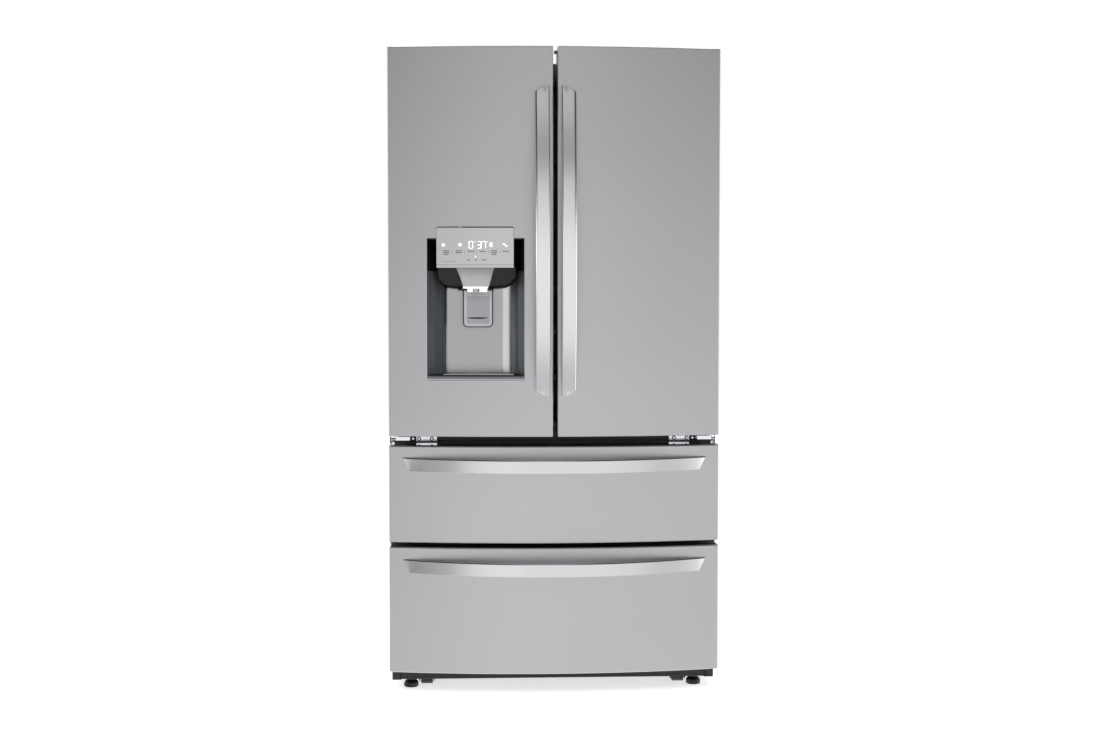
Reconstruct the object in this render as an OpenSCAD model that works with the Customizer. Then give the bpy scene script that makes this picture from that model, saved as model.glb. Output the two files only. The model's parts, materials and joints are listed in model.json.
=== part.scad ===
// French door refrigerator: a foamed cabinet, two bowed doors over two bowed freezer drawers,
// a water and ice dispenser in the left door and the cooling machine in the bottom rear.
// Millimetres. +Z up, the doors face -Y, the origin is the centre of the footprint on the floor.

/* [Cabinet] */
// Width of the cabinet, the doors and the drawers
body_w = 908; // [890:1:920]
// Depth of the cabinet behind the doors
case_d = 733.5; // [720:0.5:750]
// Height of the underside of the insulated cabinet
case_bottom = 66; // [64:1:68]
// Thickness of the steel sheet of the case and the door skins
sheet_t = 1; // [0.8:0.1:1.5]
// Thickness of the foamed side walls
wall_t = 45; // [42:1:48]
// Thickness of the plastic liners
liner_t = 1.5; // [1:0.1:2]

/* [Fronts] */
// How far the bowed front bulges from its outer edges to its middle
bow_sag = 44.7; // [40:0.1:50]
// Thickness of a door at its outer edge
door_edge_t = 66.8; // [60:0.1:72]
// Air gap between the doors' backs and the cabinet, which the gaskets fill
door_gap = 12; // [11:0.5:14]
// Gap between the two doors
centre_gap = 12; // [10:0.5:14]
// Height of the doors
door_h = 1053.8; // [1000:0.1:1080]
// Height of the upper freezer drawer's front
upper_drawer_h = 259.4; // [245:0.1:285]
// Height of the lower freezer drawer's front
lower_drawer_h = 341.1; // [325:0.1:365]
// Gap between the two drawer fronts
drawer_gap = 17.6; // [14:0.1:20]
// Gap between the doors and the upper drawer, where the rail with the hinges shows
rail_gap = 29.8; // [28:0.1:33]
// How far the doors rise above the cabinet's top panel
door_rise = 32; // [28:1:36]
// Height of the plastic end caps of the doors at their outer sides
cap_side_h = 38; // [34:1:42]
// Thickness of the end caps between the door faces
cap_t = 14; // [12:1:18]

/* [Handles] */
// How far the handles stand out from the front
handle_out = 64; // [58:0.5:68]
// Thickness of the handle bars
handle_t = 14; // [12:0.5:16]
// Width of the upright handles
door_handle_w = 38.5; // [34:0.5:42]
// Distance of the upright handles from the middle of the front
door_handle_x = 17; // [15:0.5:20]
// Length of the upright handles
door_handle_len = 836; // [780:1:860]
// Height of the upright handles' lower ends above the doors' lower edges
door_handle_up = 110.1; // [90:0.1:130]
// Height of an upright handle's ends above the door
door_handle_end = 12.7; // [11:0.1:16]
// Height of the drawer handles
drawer_handle_h = 34; // [30:1:38]
// Half the length of the drawer handles along their upper edge
drawer_handle_half = 416; // [408:1:420]
// Distance of a drawer handle's lower edge below its drawer's upper edge
drawer_handle_drop = 65; // [61:1:71]

/* [Dispenser] */
// Distance of the dispenser's middle left of the centre of the front
recess_x = 215; // [213:1:217]
// Width of the dispenser's opening
recess_w = 266; // [258:1:270]
// Height of the dispenser's opening
recess_h = 380.3; // [370:0.1:390]
// Height of the dispenser's opening above the door's lower edge
recess_up = 158.2; // [152:0.1:166]
// Width of the control panel
panel_w = 210.5; // [206:0.5:216]
// Height of the control panel
panel_h = 110.9; // [106:0.1:116]
// How far the control panel rises above the dispenser's opening
panel_rise = 29; // [26:0.1:34]
// How far the control panel stands out from the door
panel_out = 4; // [3:0.5:5]
// Width of the paddle behind the outlet
paddle_w = 82; // [76:1:86]
// Length of the paddle below its pin
paddle_len = 103.8; // [98:0.1:110]

/* [Running gear] */
// Radius of the levelling feet
foot_r = 20.5; // [18:0.5:22]
// Radius of the levelling feet's screws
foot_screw_r = 5; // [4:0.5:6]
// Radius of the front rollers, which hang clear of the floor once the feet are down
front_roller_r = 18; // [16:0.5:18.5]
// Radius of the rear rollers, which carry the cabinet's back
rear_roller_r = 20; // [18:0.5:22]
// Radius of the rollers' axles
axle_r = 4; // [3:0.5:5]
// Radius of the doors' hinge pins
hinge_pin_r = 6; // [5:0.5:7]
// Radial clearance of every pin in its bore
fit = 0.05; // [0.03:0.01:0.08]
// Clear space between pieces that pass each other
clear = 0.3; // [0.25:0.05:0.4]

/* [Interior] */
// Height of the pantry drawer
pantry_h = 106; // [100:1:112]
// Height of the crispers
crisper_h = 114; // [108:1:120]
// Clear height above the crispers' glass cover
low_shelf_gap = 120; // [112:1:128]
// Clear height above each of the two shelves over it
shelf_gap = 180; // [170:1:185]
// Thickness of the shelf glass
glass_t = 4; // [3:0.5:5]
// Wall thickness of the bins, the crispers and the baskets
bin_t = 3; // [2.5:0.5:4]
// Depth of the door bins
door_bin_d = 108; // [100:1:112]
// Gap above the flap that closes the space between the doors
flap_top_gap = 22; // [18:1:40]
// Gap below that flap
flap_low_gap = 57; // [40:1:70]

/* [Hidden] */

// Planes from front to back
depth = handle_out + bow_sag + door_edge_t + door_gap + case_d;
y_handle = -depth / 2;
y_front = y_handle + handle_out;
y_edge = y_front + bow_sag;
y_door_back = y_edge + door_edge_t;
y_case = y_door_back + door_gap;
y_back = depth / 2;
half_w = body_w / 2;

// The bowed front is one upright cylinder across both doors and both drawers
bow_r = (half_w * half_w + bow_sag * bow_sag) / (2 * bow_sag);
bow_y = y_front + bow_r;
function bow_at(x) = bow_y - sqrt(bow_r * bow_r - x * x);

// The stack of fronts from the floor up
lower_z = [case_bottom + clear, case_bottom + clear + lower_drawer_h];
upper_z = [lower_z[1] + drawer_gap, lower_z[1] + drawer_gap + upper_drawer_h];
door_z = [upper_z[1] + rail_gap, upper_z[1] + rail_gap + door_h];
case_top = door_z[1] - door_rise;

// The cabinet's compartments
cavity_x = half_w - wall_t;
cavity_back = y_back - wall_t - 10;
fresh_z = [door_z[0] + 20.8, case_top - wall_t - 1];
freezer_z = [case_bottom + wall_t - 1, upper_z[1] - 19.4];
rail_z = [lower_z[1] - 15.4, upper_z[0] + 20];
face_t = 2;
foam_y = y_case + face_t;
machine_y = y_back - 255.5;
machine_top = case_bottom + 279;
foam_profile = [
    [foam_y, case_bottom + sheet_t], [machine_y, case_bottom + sheet_t], [machine_y, machine_top - 40],
    [machine_y + 50, machine_top], [y_back - sheet_t, machine_top], [y_back - sheet_t, case_top - sheet_t],
    [foam_y, case_top - sheet_t]
];
freezer_step_y = machine_y - 40;
freezer_step_z = machine_top + 55;
freezer_profile = [
    [foam_y, freezer_z[0]], [freezer_step_y, freezer_z[0]], [freezer_step_y, freezer_step_z - 70],
    [freezer_step_y + 70, freezer_step_z], [cavity_back, freezer_step_z], [cavity_back, freezer_z[1]],
    [foam_y, freezer_z[1]]
];

// Door hinges: the pins stand near the outer front corner of the cabinet
pin_x = half_w - 20;
pin_y = y_door_back - 27;
pin_h = 16;
hinge_plate_t = 3;
cover_w = 52;
top_plate_z = door_z[1] + 0.8;
mid_arm_z = [698.5, 711];

// Door backs
dyke_in = 60;
dyke_out = 62;
dyke_t = 12;
dyke_corner = 14;
dyke_d = 70;
dyke_z = [fresh_z[0] + 17, fresh_z[1] - 18];
gasket_w = 16;
door_in = centre_gap / 2;
skin_return_y = y_door_back - 4;

// Flap between the doors
flap_pin = [-door_in - 46, y_case + 11];
flap_pin_r = 3;
flap_t = 20;
flap_x = [-door_in - 52, door_in - 3];
flap_z = [fresh_z[0] + flap_low_gap, fresh_z[1] - flap_top_gap];

// Shelves and crispers
shelf_half = cavity_x - liner_t - clear;
shelf_y = [y_case + 125, cavity_back - 20];
frame_t = 10;
nose_r = 6;
lip_r = 5;
pantry_z = [fresh_z[0] + 12, fresh_z[0] + 12 + pantry_h];
crisper_low = pantry_z[1] + frame_t + 5;
crisper_z = [crisper_low, crisper_low + crisper_h];
cover_z = crisper_z[1] + 4 + frame_t + glass_t;
shelf_z = [for (n = [0 : 3]) cover_z + (n > 0 ? low_shelf_gap : 0) + max(0, n - 1) * shelf_gap];
ledge_tops = concat([for (z = shelf_z) z - glass_t - frame_t], [crisper_z[0] - frame_t]);

// Drawers
tub_corner = 5;
basket_x = cavity_x - 17;
slide_x = [cavity_x - 17, cavity_x - 8.3];
guide_x = [cavity_x - 12, cavity_x - liner_t];
slide_h = 20;
upper_slide_z = upper_z[0] + 55;
lower_slide_z = lower_z[0] + 83.7;
upper_reach = cavity_back - 105.5;
lower_reach = machine_y - 55;

// Feet and rollers
foot_at = [half_w - 56, y_case + 27];
front_roller_at = [half_w - 100, y_case + 38, front_roller_r + 5];
rear_roller_at = [half_w - 74, y_back - 60, rear_roller_r];
roller_w = 35;

// Base
kick_z = case_bottom - 38;
floor_z = [case_bottom - 21, case_bottom - 19];

// Machine compartment
fan_blades = 5;
inlet_r = 5.55;
inlet_at = [half_w - 64, machine_top - 45];
compressor_x = half_w - 224;
fan_z = case_bottom + 64;
cool_fan_z = freezer_z[1] - 57;

BIG = 10;

// ---- shared shapes -------------------------------------------------------------------------------

module box(x, y, z) {
    translate([x[0], y[0], z[0]]) cube([x[1] - x[0], y[1] - y[0], z[1] - z[0]]);
}

// A box whose upright edges are round
module soft_box(x, y, z, r) {
    box([x[0] + r, x[1] - r], y, z);
    box(x, [y[0] + r, y[1] - r], z);
    for (cx = [x[0] + r, x[1] - r], cy = [y[0] + r, y[1] - r]) upright(cx, cy, z, r);
}

// The same piece on the left and on the right
module both_sides() {
    children();
    mirror([1, 0, 0]) children();
}

// A solid bounded by the bowed front, set back by inset
module bowed(z, inset = 0) {
    translate([0, bow_y, z[0] - BIG]) cylinder(r = bow_r - inset, h = z[1] - z[0] + 2 * BIG, $fn = 720);
}

// A panel from the bowed front back to the plane y_end
module front_panel(x, y_end, z, inset = 0) {
    intersection() {
        box(x, [y_handle - BIG, y_end], z);
        bowed(z, inset);
    }
}

// A profile in the YZ plane extruded across the width
module across(half, profile) {
    translate([half, 0, 0]) rotate([90, 0, -90]) linear_extrude(2 * half)
        polygon([for (p = profile) [-p[0], p[1]]]);
}

// An upright rectangular ring in the XZ plane, with its outer corners rounded by r
module frame_ring(x, y, z, w, r = 0) {
    difference() {
        union() {
            box([x[0] + r, x[1] - r], y, z);
            box(x, y, [z[0] + r, z[1] - r]);
            if (r > 0) for (cx = [x[0] + r, x[1] - r], cz = [z[0] + r, z[1] - r]) along_y(cx, y, cz, r);
        }
        box([x[0] + w, x[1] - w], [y[0] - 1, y[1] + 1], [z[0] + w, z[1] - w]);
    }
}

// A moulded box open at the top
module tub(x, y, z, t = bin_t) {
    difference() {
        soft_box(x, y, z, tub_corner);
        box([x[0] + t, x[1] - t], [y[0] + t, y[1] - t], [z[0] + t, z[1] + 1]);
    }
}

module along_x(x, y, z, r) {
    translate([x[0], y, z]) rotate([0, 90, 0]) cylinder(r = r, h = x[1] - x[0], $fn = 64);
}

module along_y(x, y, z, r) {
    translate([x, y[0], z]) rotate([-90, 0, 0]) cylinder(r = r, h = y[1] - y[0], $fn = 64);
}

module upright(x, y, z, r) {
    translate([x, y, z[0]]) cylinder(r = r, h = z[1] - z[0], $fn = 64);
}

// A fan: a hub with flat blades set at an angle, turning about Z
module fan(r, hub_r, h) {
    cylinder(r = hub_r, h = h, center = true, $fn = 48);
    for (i = [0 : fan_blades - 1])
        rotate([0, 0, i * 360 / fan_blades]) translate([hub_r - 1, 0, 0]) rotate([32, 0, 0])
            translate([0, -r * 0.28, -0.8]) cube([r - hub_r + 1, r * 0.56, 1.6]);
}

// ---- cabinet -------------------------------------------------------------------------------------

module outer_case() color("#4a4b4d") {
    top = case_top;
    difference() {
        box([-half_w, half_w], [y_case, y_back - sheet_t], [case_bottom, top]);
        box([-half_w + sheet_t, half_w - sheet_t], [foam_y, y_back + 1], [case_bottom + sheet_t, top - sheet_t]);
        box([-cavity_x, cavity_x], [y_case - 1, foam_y + 1], [freezer_z[0], fresh_z[1]]);
        box([-half_w + sheet_t, half_w - sheet_t], [machine_y, y_back + 1], [case_bottom - 1, machine_top]);
    }
}

module rear_panel() color("#8f9294")
    box([-half_w + sheet_t, half_w - sheet_t], [y_back - sheet_t, y_back], [machine_top, case_top - sheet_t]);

module cabinet_insulation() color("#d8c58f") difference() {
    across(half_w - sheet_t, foam_profile);
    across(cavity_x, freezer_profile);
    box([-cavity_x, cavity_x], [foam_y - 1, cavity_back], fresh_z);
}

module fresh_food_liner() color("#eef0f1") {
    inner = cavity_x - liner_t;
    difference() {
        box([-cavity_x, cavity_x], [foam_y, cavity_back], fresh_z);
        box([-inner, inner], [foam_y - 1, cavity_back - liner_t], [fresh_z[0] + liner_t, fresh_z[1] - liner_t]);
    }
    // Ledges that carry the shelves
    both_sides() for (z = ledge_tops)
        box([inner - 9, inner], [y_case + 110, cavity_back - 15], [z - 6, z]);
}

module freezer_liner() color("#eef0f1") difference() {
    across(cavity_x, freezer_profile);
    across(cavity_x - liner_t, [
        [foam_y - 1, freezer_z[0] + liner_t],
        [freezer_step_y - liner_t, freezer_z[0] + liner_t],
        [freezer_step_y - liner_t, freezer_step_z - 69.4],
        [freezer_step_y + 69.4, freezer_step_z + liner_t],
        [cavity_back - liner_t, freezer_step_z + liner_t],
        [cavity_back - liner_t, freezer_z[1] - liner_t],
        [foam_y - 1, freezer_z[1] - liner_t]
    ]);
}

// The dark rail between the doors and the drawers, and the one behind the gap between the drawers
module front_rails() color("#3c3d3f") {
    box([-cavity_x, cavity_x], [y_case, foam_y], [freezer_z[1], fresh_z[0]]);
    inner = cavity_x - liner_t;
    box([-inner, inner], [y_case, y_case + 38], rail_z);
    for (x = [-cavity_x, inner]) box([x, x + liner_t], [y_case, foam_y], rail_z);
}

module base_frame() color("#3a3b3d") {
    foot_block = [case_bottom - 26, case_bottom];
    difference() {
        union() {
            // Kick bar, corner brackets, side rails and the floor of the machine compartment
            box([-half_w + 30, half_w - 30], [y_case - 8, y_case - 6], [kick_z, case_bottom - 3]);
            box([-half_w + 30, half_w - 30], [y_case - 8, y_case + 20], [case_bottom - 5, case_bottom - 3]);
            both_sides() {
                box([half_w - 30, half_w - 5], [y_case - 14, y_case - 6], [kick_z, case_bottom - 3]);
                box([half_w - 30, half_w - 5], [y_case - 6, y_back - 4], [floor_z[0], case_bottom]);
                box([foot_at[0] - 24, half_w - 5], [foot_at[1] - 16, foot_at[1] + 16], foot_block);
                // Fork of the front roller
                for (x = [-1, 1])
                    translate([front_roller_at[0] + x * (roller_w / 2 + 3) - 1.5, 0, 0])
                        box([0, 3], [front_roller_at[1] - 14, front_roller_at[1] + 14],
                            [front_roller_at[2] - 8, case_bottom]);
                // Fork of the rear roller
                for (x = [-1, 1])
                    translate([rear_roller_at[0] + x * (roller_w / 2 + 3) - 1.5, 0, 0])
                        box([0, 3], [rear_roller_at[1] - 14, rear_roller_at[1] + 14],
                            [rear_roller_at[2] - 8, floor_z[0] + 1]);
                along_x([front_roller_at[0] - roller_w / 2 - 3, front_roller_at[0] + roller_w / 2 + 3],
                    front_roller_at[1], front_roller_at[2], axle_r);
                along_x([rear_roller_at[0] - roller_w / 2 - 3, rear_roller_at[0] + roller_w / 2 + 3],
                    rear_roller_at[1], rear_roller_at[2], axle_r);
            }
            box([-half_w + 5, half_w - 5], [machine_y + 4, y_back - 2], floor_z);
            // Motor of the condenser fan on its bracket
            box([6, 9], [machine_y + 105, machine_y + 165], [floor_z[1] - 1, fan_z + 30]);
            along_x([-22, 7], machine_y + 135, fan_z, 24);
        }
        both_sides() upright(foot_at[0], foot_at[1], [0, case_bottom + 1], foot_screw_r + fit);
        along_x([-30, -6], machine_y + 135, fan_z, 3 + fit);
    }
}

// Upper hinges on the cabinet's top and lower hinges on the dark rail, with their pins
module door_hinges() color("#c9cbcd") both_sides() {
    arm_x = [half_w - 46, half_w - 4];
    // Upper hinge: a stepped plate with the pin turned down into the door
    difference() {
        union() {
            box(arm_x, [y_case + 1, y_case + 100], [case_top, case_top + hinge_plate_t]);
            box(arm_x, [y_case + 1, y_case + 1 + hinge_plate_t], [case_top, top_plate_z + hinge_plate_t]);
            box(arm_x, [pin_y - 8, y_case + 3], [top_plate_z, top_plate_z + hinge_plate_t]);
        }
        for (y = [30, 55, 80]) upright(half_w - 25, y_case + y, [case_top - 1, case_top + 9], 3.2);
    }
    upright(pin_x, pin_y, [door_z[1] - pin_h, top_plate_z + 1], hinge_pin_r);
    // Lower hinge: an arm from the rail under the door, with the pin turned up
    arm_in = half_w - 131;
    difference() {
        union() {
            box([half_w - 60, half_w - 10], [pin_y - 11, y_case], [mid_arm_z[0] + 4, mid_arm_z[1] - 4]);
            box([arm_in, half_w - 10], [y_case - 3, y_case], [mid_arm_z[0] - 8, mid_arm_z[1] + 3]);
        }
        for (x = [arm_in + 14, arm_in + 46]) along_y(x, [y_case - 4, y_case + 1], mid_arm_z[1] - 3, 3.2);
    }
    upright(pin_x, pin_y, [mid_arm_z[1] - 5, door_z[0] + pin_h], hinge_pin_r);
    upright(pin_x, pin_y, [mid_arm_z[1] - 5, door_z[0] - clear], hinge_pin_r + 4);
}

// Shells over the upper hinges, sloped at the front and chamfered at the back
module hinge_covers() color("#2b2c2e") both_sides() translate([half_w - cover_w / 2, 0, 0]) {
    front = pin_y - 20;
    back = y_case + 112;
    over_door = door_z[1] + clear;
    roof = door_z[1] + 8;
    inner_roof = roof - 2.2;
    plate_top = top_plate_z + hinge_plate_t + 0.2;
    difference() {
        across(cover_w / 2, [
            [front, over_door], [front, over_door + 3], [pin_y + 14, roof], [back - 6, roof], [back, roof - 6],
            [back, case_top], [y_case + 0.5, case_top], [y_case + 0.5, over_door]
        ]);
        across(cover_w / 2 - 2, [
            [pin_y - 9, over_door - 1], [pin_y - 9, plate_top], [pin_y + 14, inner_roof],
            [back - 8, inner_roof], [back - 3, inner_roof - 5], [back - 3, case_top - 1],
            [y_case + 0.8, case_top - 1], [y_case + 0.8, over_door - 1]
        ]);
    }
}

// ---- inside the fresh food compartment -----------------------------------------------------------

module glass_shelves() color("#cfe0dc", 0.5) for (z = shelf_z)
    box([-shelf_half + 4, shelf_half - 4], [shelf_y[0] + 4, shelf_y[1] - 4], [z - glass_t, z]);

module shelf_frames() color("#e4e6e7") {
    for (z = shelf_z) difference() {
        box([-shelf_half, shelf_half], shelf_y, [z - glass_t - frame_t, z]);
        box([-shelf_half + 4, shelf_half - 4], [shelf_y[0] + 4, shelf_y[1] - 4], [z - glass_t, z + 1]);
        box([-shelf_half + 14, shelf_half - 14], [shelf_y[0] + 14, shelf_y[1] - 14],
            [z - glass_t - frame_t - 1, z]);
    }
    // Rounded trim along each shelf's front
    nose_y = shelf_y[0] + 4 - nose_r - clear;
    for (z = shelf_z) along_x([-shelf_half + 2, shelf_half - 2], nose_y, z - nose_r, nose_r);
    // Divider under the crispers, with a middle bar
    difference() {
        box([-shelf_half, shelf_half], shelf_y, [crisper_z[0] - frame_t, crisper_z[0]]);
        both_sides() box([16, shelf_half - 26], [shelf_y[0] + 20, shelf_y[1] - 20],
            [crisper_z[0] - frame_t - 1, crisper_z[0] + 1]);
    }
}

module crisper_drawers() color("#e9eef0", 0.6) both_sides() {
    tub([3, shelf_half - 12], [shelf_y[0], shelf_y[1] - 10], crisper_z);
    pull_lip([20, shelf_half - 30], crisper_z[1]);
}

// Rounded lip along the top of a drawer's front, to pull it by
module pull_lip(x, top) {
    box(x, [shelf_y[0] - 8, shelf_y[0] + 1], [top - 2 * lip_r, top]);
    along_x(x, shelf_y[0] - 8, top - lip_r, lip_r);
}

module pantry_drawer() color("#e9eef0", 0.6) {
    tub([-shelf_half + 12, shelf_half - 12], [shelf_y[0], shelf_y[1] - 10], pantry_z);
    pull_lip([-shelf_half + 40, shelf_half - 40], pantry_z[1]);
    // Runners under the drawer and the divider that carries the crispers
    both_sides() box([shelf_half - 80, shelf_half - 60], [shelf_y[0] + 20, shelf_y[1] - 20],
        [fresh_z[0] + liner_t, pantry_z[0]]);
}

module air_duct() color("#dfe2e4") {
    difference() {
        box([-110, 110], [cavity_back - liner_t - 14, cavity_back - liner_t], [shelf_z[0] + 20, fresh_z[1] - 20]);
        for (z = shelf_z) for (x = [-70, 30])
            box([x, x + 40], [cavity_back - 30, cavity_back - liner_t - 3], [z + 90, z + 98]);
    }
}

// ---- freezer and machine compartment -------------------------------------------------------------

coil_y = cavity_back - 48;
coil_z = cool_fan_z - 178;

module evaporator() color("#c3c6c8") {
    for (i = [0 : 11]) {
        // The end plates reach back to the liner
        reach = i == 0 || i == 11 ? cavity_back - liner_t : coil_y + 22;
        box([-286 + i * 52, -285 + i * 52], [coil_y - 22, reach], [coil_z, coil_z + 130]);
    }
    for (n = [0 : 2]) along_x([-300, 300], coil_y, coil_z + 25 + n * 40, 4);
}

module evaporator_cover() color("#e3e5e6") {
    y = cavity_back - 84;
    difference() {
        box([-cavity_x + 3, cavity_x - 3], [y, y + 3], [freezer_step_z + 2, freezer_z[1] - 2]);
        along_y(0, [y - 1, y + 4], cool_fan_z, 40);
    }
    // Bracket and motor of the evaporator fan
    difference() {
        union() {
            box([-50, 50], [y + 44, y + 47], [cool_fan_z - 18, cool_fan_z + 18]);
            for (x = [-50, 47]) box([x, x + 3], [y + 3, y + 45], [cool_fan_z - 18, cool_fan_z + 18]);
            along_y(0, [y + 26, y + 46], cool_fan_z, 14);
        }
        along_y(0, [y + 20, y + 40], cool_fan_z, 3 + fit);
    }
}

module evaporator_fan() color("#2e3032") translate([0, cavity_back - 84 + 14, cool_fan_z]) rotate([-90, 0, 0]) {
    fan(36, 11, 10);
    cylinder(r = 3, h = 24, $fn = 32);
}

module compressor() color("#17181a") translate([compressor_x, machine_y + 130, case_bottom - 66]) {
    rotate_extrude($fn = 72) polygon(concat(
        [[0, 60], [70, 60], [84, 74], [84, 160]],
        [for (a = [10 : 10 : 80]) [84 * cos(a), 160 + 50 * sin(a)]],
        [[0, 210]]
    ));
    // Cover over the terminals, and the tubes brazed into the shell
    box([80, 100], [-24, 24], [98, 142]);
    along_x([-98, -70], -20, 120, 4.8);
    along_x([-98, -70], 24, 150, 4);
    difference() {
        box([-105, 105], [-70, 70], [55, 60]);
        for (x = [-92, 92]) for (y = [-56, 56]) upright(x, y, [50, 70], 5);
    }
    for (x = [-92, 92]) for (y = [-56, 56]) difference() {
        upright(x, y, [47, 55], 12);
        upright(x, y, [46, 56], 5);
    }
}

module condenser() color("#202224") {
    y = [machine_y + 60, machine_y + 210];
    left = -half_w + 82;
    top = floor_z[1] + 153;
    for (i = [0 : 9]) box([left + 12 + i * 26, left + 14 + i * 26], y, [floor_z[1] + 5, top]);
    for (n = [0 : 3]) along_x([left, left + 260], machine_y + 135, floor_z[1] + 28 + n * 35, 3.5);
    for (x = [left, left + 256]) box([x, x + 4], [y[0] + 20, y[1] - 20], [floor_z[1], top]);
}

module condenser_fan() color("#2e3032") translate([-40, machine_y + 135, fan_z]) rotate([0, 90, 0]) {
    fan(66, 18, 16);
    cylinder(r = 3, h = 30, $fn = 32);
}

module machine_cover() color("#6d7073") difference() {
    box([-half_w + sheet_t, half_w - sheet_t], [y_back - 2, y_back], [floor_z[1], machine_top]);
    for (row = [0 : 3]) for (i = [0 : 8]) {
        x = (i - 4) * (half_w - 86) / 4 - 30;
        z = case_bottom + 24 + row * 34;
        box([x, x + 60], [y_back - 3, y_back + 1], [z, z + 8]);
    }
    along_y(-inlet_at[0], [y_back - 3, y_back + 1], inlet_at[1], 13);
    along_y(inlet_at[0], [y_back - 3, y_back + 1], inlet_at[1], 9);
}

module water_valve() color("#c8ccd2") {
    box([-inlet_at[0] - 22, -inlet_at[0] + 22], [y_back - 60, y_back - 22], [inlet_at[1] - 16, inlet_at[1] + 16]);
    along_y(-inlet_at[0], [y_back - 22, y_back - 12], inlet_at[1], 12);
    along_y(-inlet_at[0], [y_back - 14, y_back], inlet_at[1], inlet_r);
    // Bracket that hangs the valve under the insulated floor
    box([-inlet_at[0] - 10, -inlet_at[0] + 10], [y_back - 50, y_back - 30], [inlet_at[1] + 15, machine_top]);
}

module power_inlet() color("#161718") difference() {
    union() {
        along_y(inlet_at[0], [y_back - 10, y_back], inlet_at[1], 9);
        along_y(inlet_at[0], [y_back - 6, y_back - 2], inlet_at[1], 12);
    }
    along_y(inlet_at[0], [y_back - 11, y_back + 1], inlet_at[1], 4);
}

module drawer_guides() color("#b8bbbe") both_sides() {
    for (s = [[upper_slide_z, upper_reach], [lower_slide_z, lower_reach]]) difference() {
        box([guide_x[0], cavity_x - liner_t], [y_case + 8, s[1]], [s[0] - 5, s[0] + slide_h + 5]);
        box([guide_x[0] - 1, slide_x[1] + clear], [y_case + 7, s[1] + 1],
            [s[0] - clear, s[0] + slide_h + clear]);
    }
}

// ---- feet and rollers ----------------------------------------------------------------------------

module foot() color("#1d1e20") translate([foot_at[0], foot_at[1], 0]) {
    cylinder(r = foot_r, h = 9, $fn = 64);
    cylinder(r1 = foot_r, r2 = foot_r - 6, h = 9, $fn = 64);
    translate([0, 0, 9]) cylinder(r = 11, h = 7, $fn = 6);
    cylinder(r = foot_screw_r, h = case_bottom - 4, $fn = 48);
}

module left_foot() mirror([1, 0, 0]) foot();
module right_foot() foot();

module rollers(at, r) color("#26272a") both_sides() difference() {
    along_x([at[0] - roller_w / 2 + 1, at[0] + roller_w / 2 - 1], at[1], at[2], r);
    along_x([at[0] - roller_w, at[0] + roller_w], at[1], at[2], axle_r + fit);
}

module front_rollers() rollers(front_roller_at, front_roller_r);
module rear_rollers() rollers(rear_roller_at, rear_roller_r);

// ---- what both doors share, drawn for the right door ---------------------------------------------

door_x = [door_in, half_w];
bin_x = [door_in + dyke_in + dyke_t + clear, half_w - dyke_out - dyke_t - clear];

module skin(x, z) color("#b4b6b9") difference() {
    front_panel(x, skin_return_y, z);
    front_panel([x[0] + sheet_t, x[1] - sheet_t], y_door_back + 1, [z[0] - 1, z[1] + 1], sheet_t);
}

// Side strip of the upper end cap, where the skin is cut away
module cap_strip(grow = 0)
    box([half_w - sheet_t - grow, half_w + grow], [y_edge + 8, skin_return_y + grow],
        [door_z[1] - cap_side_h, door_z[1] + grow]);

module door_skin() difference() {
    skin(door_x, door_z);
    color("#b4b6b9") cap_strip(0.01);
}

module door_caps() color("#3b3c3e") {
    inner_x = [door_x[0] + sheet_t, door_x[1] - sheet_t];
    difference() {
        union() {
            front_panel(inner_x, y_door_back, [door_z[1] - cap_t, door_z[1]], sheet_t);
            front_panel(inner_x, y_door_back, [door_z[0], door_z[0] + cap_t], sheet_t);
            cap_strip();
        }
        upright(pin_x, pin_y, [door_z[1] - pin_h - 0.5, door_z[1] + 1], hinge_pin_r + fit);
        upright(pin_x, pin_y, [door_z[0] - 1, door_z[0] + pin_h + 0.5], hinge_pin_r + fit);
    }
}

module door_core() color("#eceeef") {
    difference() {
        union() {
            front_panel([door_x[0] + sheet_t, door_x[1] - sheet_t], y_door_back,
                [door_z[0] + cap_t, door_z[1] - cap_t], sheet_t);
            frame_ring([door_x[0] + dyke_in, door_x[1] - dyke_out], [y_door_back - 1, y_door_back + dyke_d],
                dyke_z, dyke_t, dyke_corner);
        }
        for (z = [door_z[1] - pin_h - 0.5, door_z[0] + cap_t - 1])
            upright(pin_x, pin_y, [z, z + pin_h - cap_t + 2], hinge_pin_r + 2);
    }
}

module door_gasket() color("#55585b")
    frame_ring([door_x[0] + 4, door_x[1] - 24], [y_door_back, y_case - clear],
        [door_z[0] + 3, case_top - 20], gasket_w);

// Bowed bar of an upright handle with the posts that carry it
module door_handle() color("#c4c6c8") {
    half = door_handle_len / 2;
    mid = door_z[0] + door_handle_up + half;
    rise = handle_out - door_handle_end;
    r = (half * half + rise * rise) / (2 * rise);
    x = [door_handle_x, door_handle_x + door_handle_w];
    steps = 8;
    cut = 17;
    edge = [for (i = [0 : steps]) [x[0] + door_handle_w * i / steps, half - cut * pow(i / steps, 2)]];
    outline = concat(edge, [for (i = [steps : -1 : 0]) [edge[i][0], -edge[i][1]]]);
    difference() {
        union() {
            intersection() {
                difference() {
                    along_axis_x([x[0] - 1, x[1] + 1], y_handle + r, mid, r);
                    along_axis_x([x[0] - 2, x[1] + 2], y_handle + r, mid, r - handle_t);
                }
                translate([0, y_front + 20, mid]) rotate([90, 0, 0]) linear_extrude(handle_out + 40)
                    polygon(outline);
            }
            for (s = [-1, 1])
                along_y(x[0] + door_handle_w / 2, [y_front - 22, y_front + 6], mid + s * (half - 42), 9);
        }
        bowed(door_z);
    }
}

module along_axis_x(x, y, z, r) {
    translate([x[0], y, z]) rotate([0, 90, 0]) cylinder(r = r, h = x[1] - x[0], $fn = 720);
}

// ---- left door -----------------------------------------------------------------------------------

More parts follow.
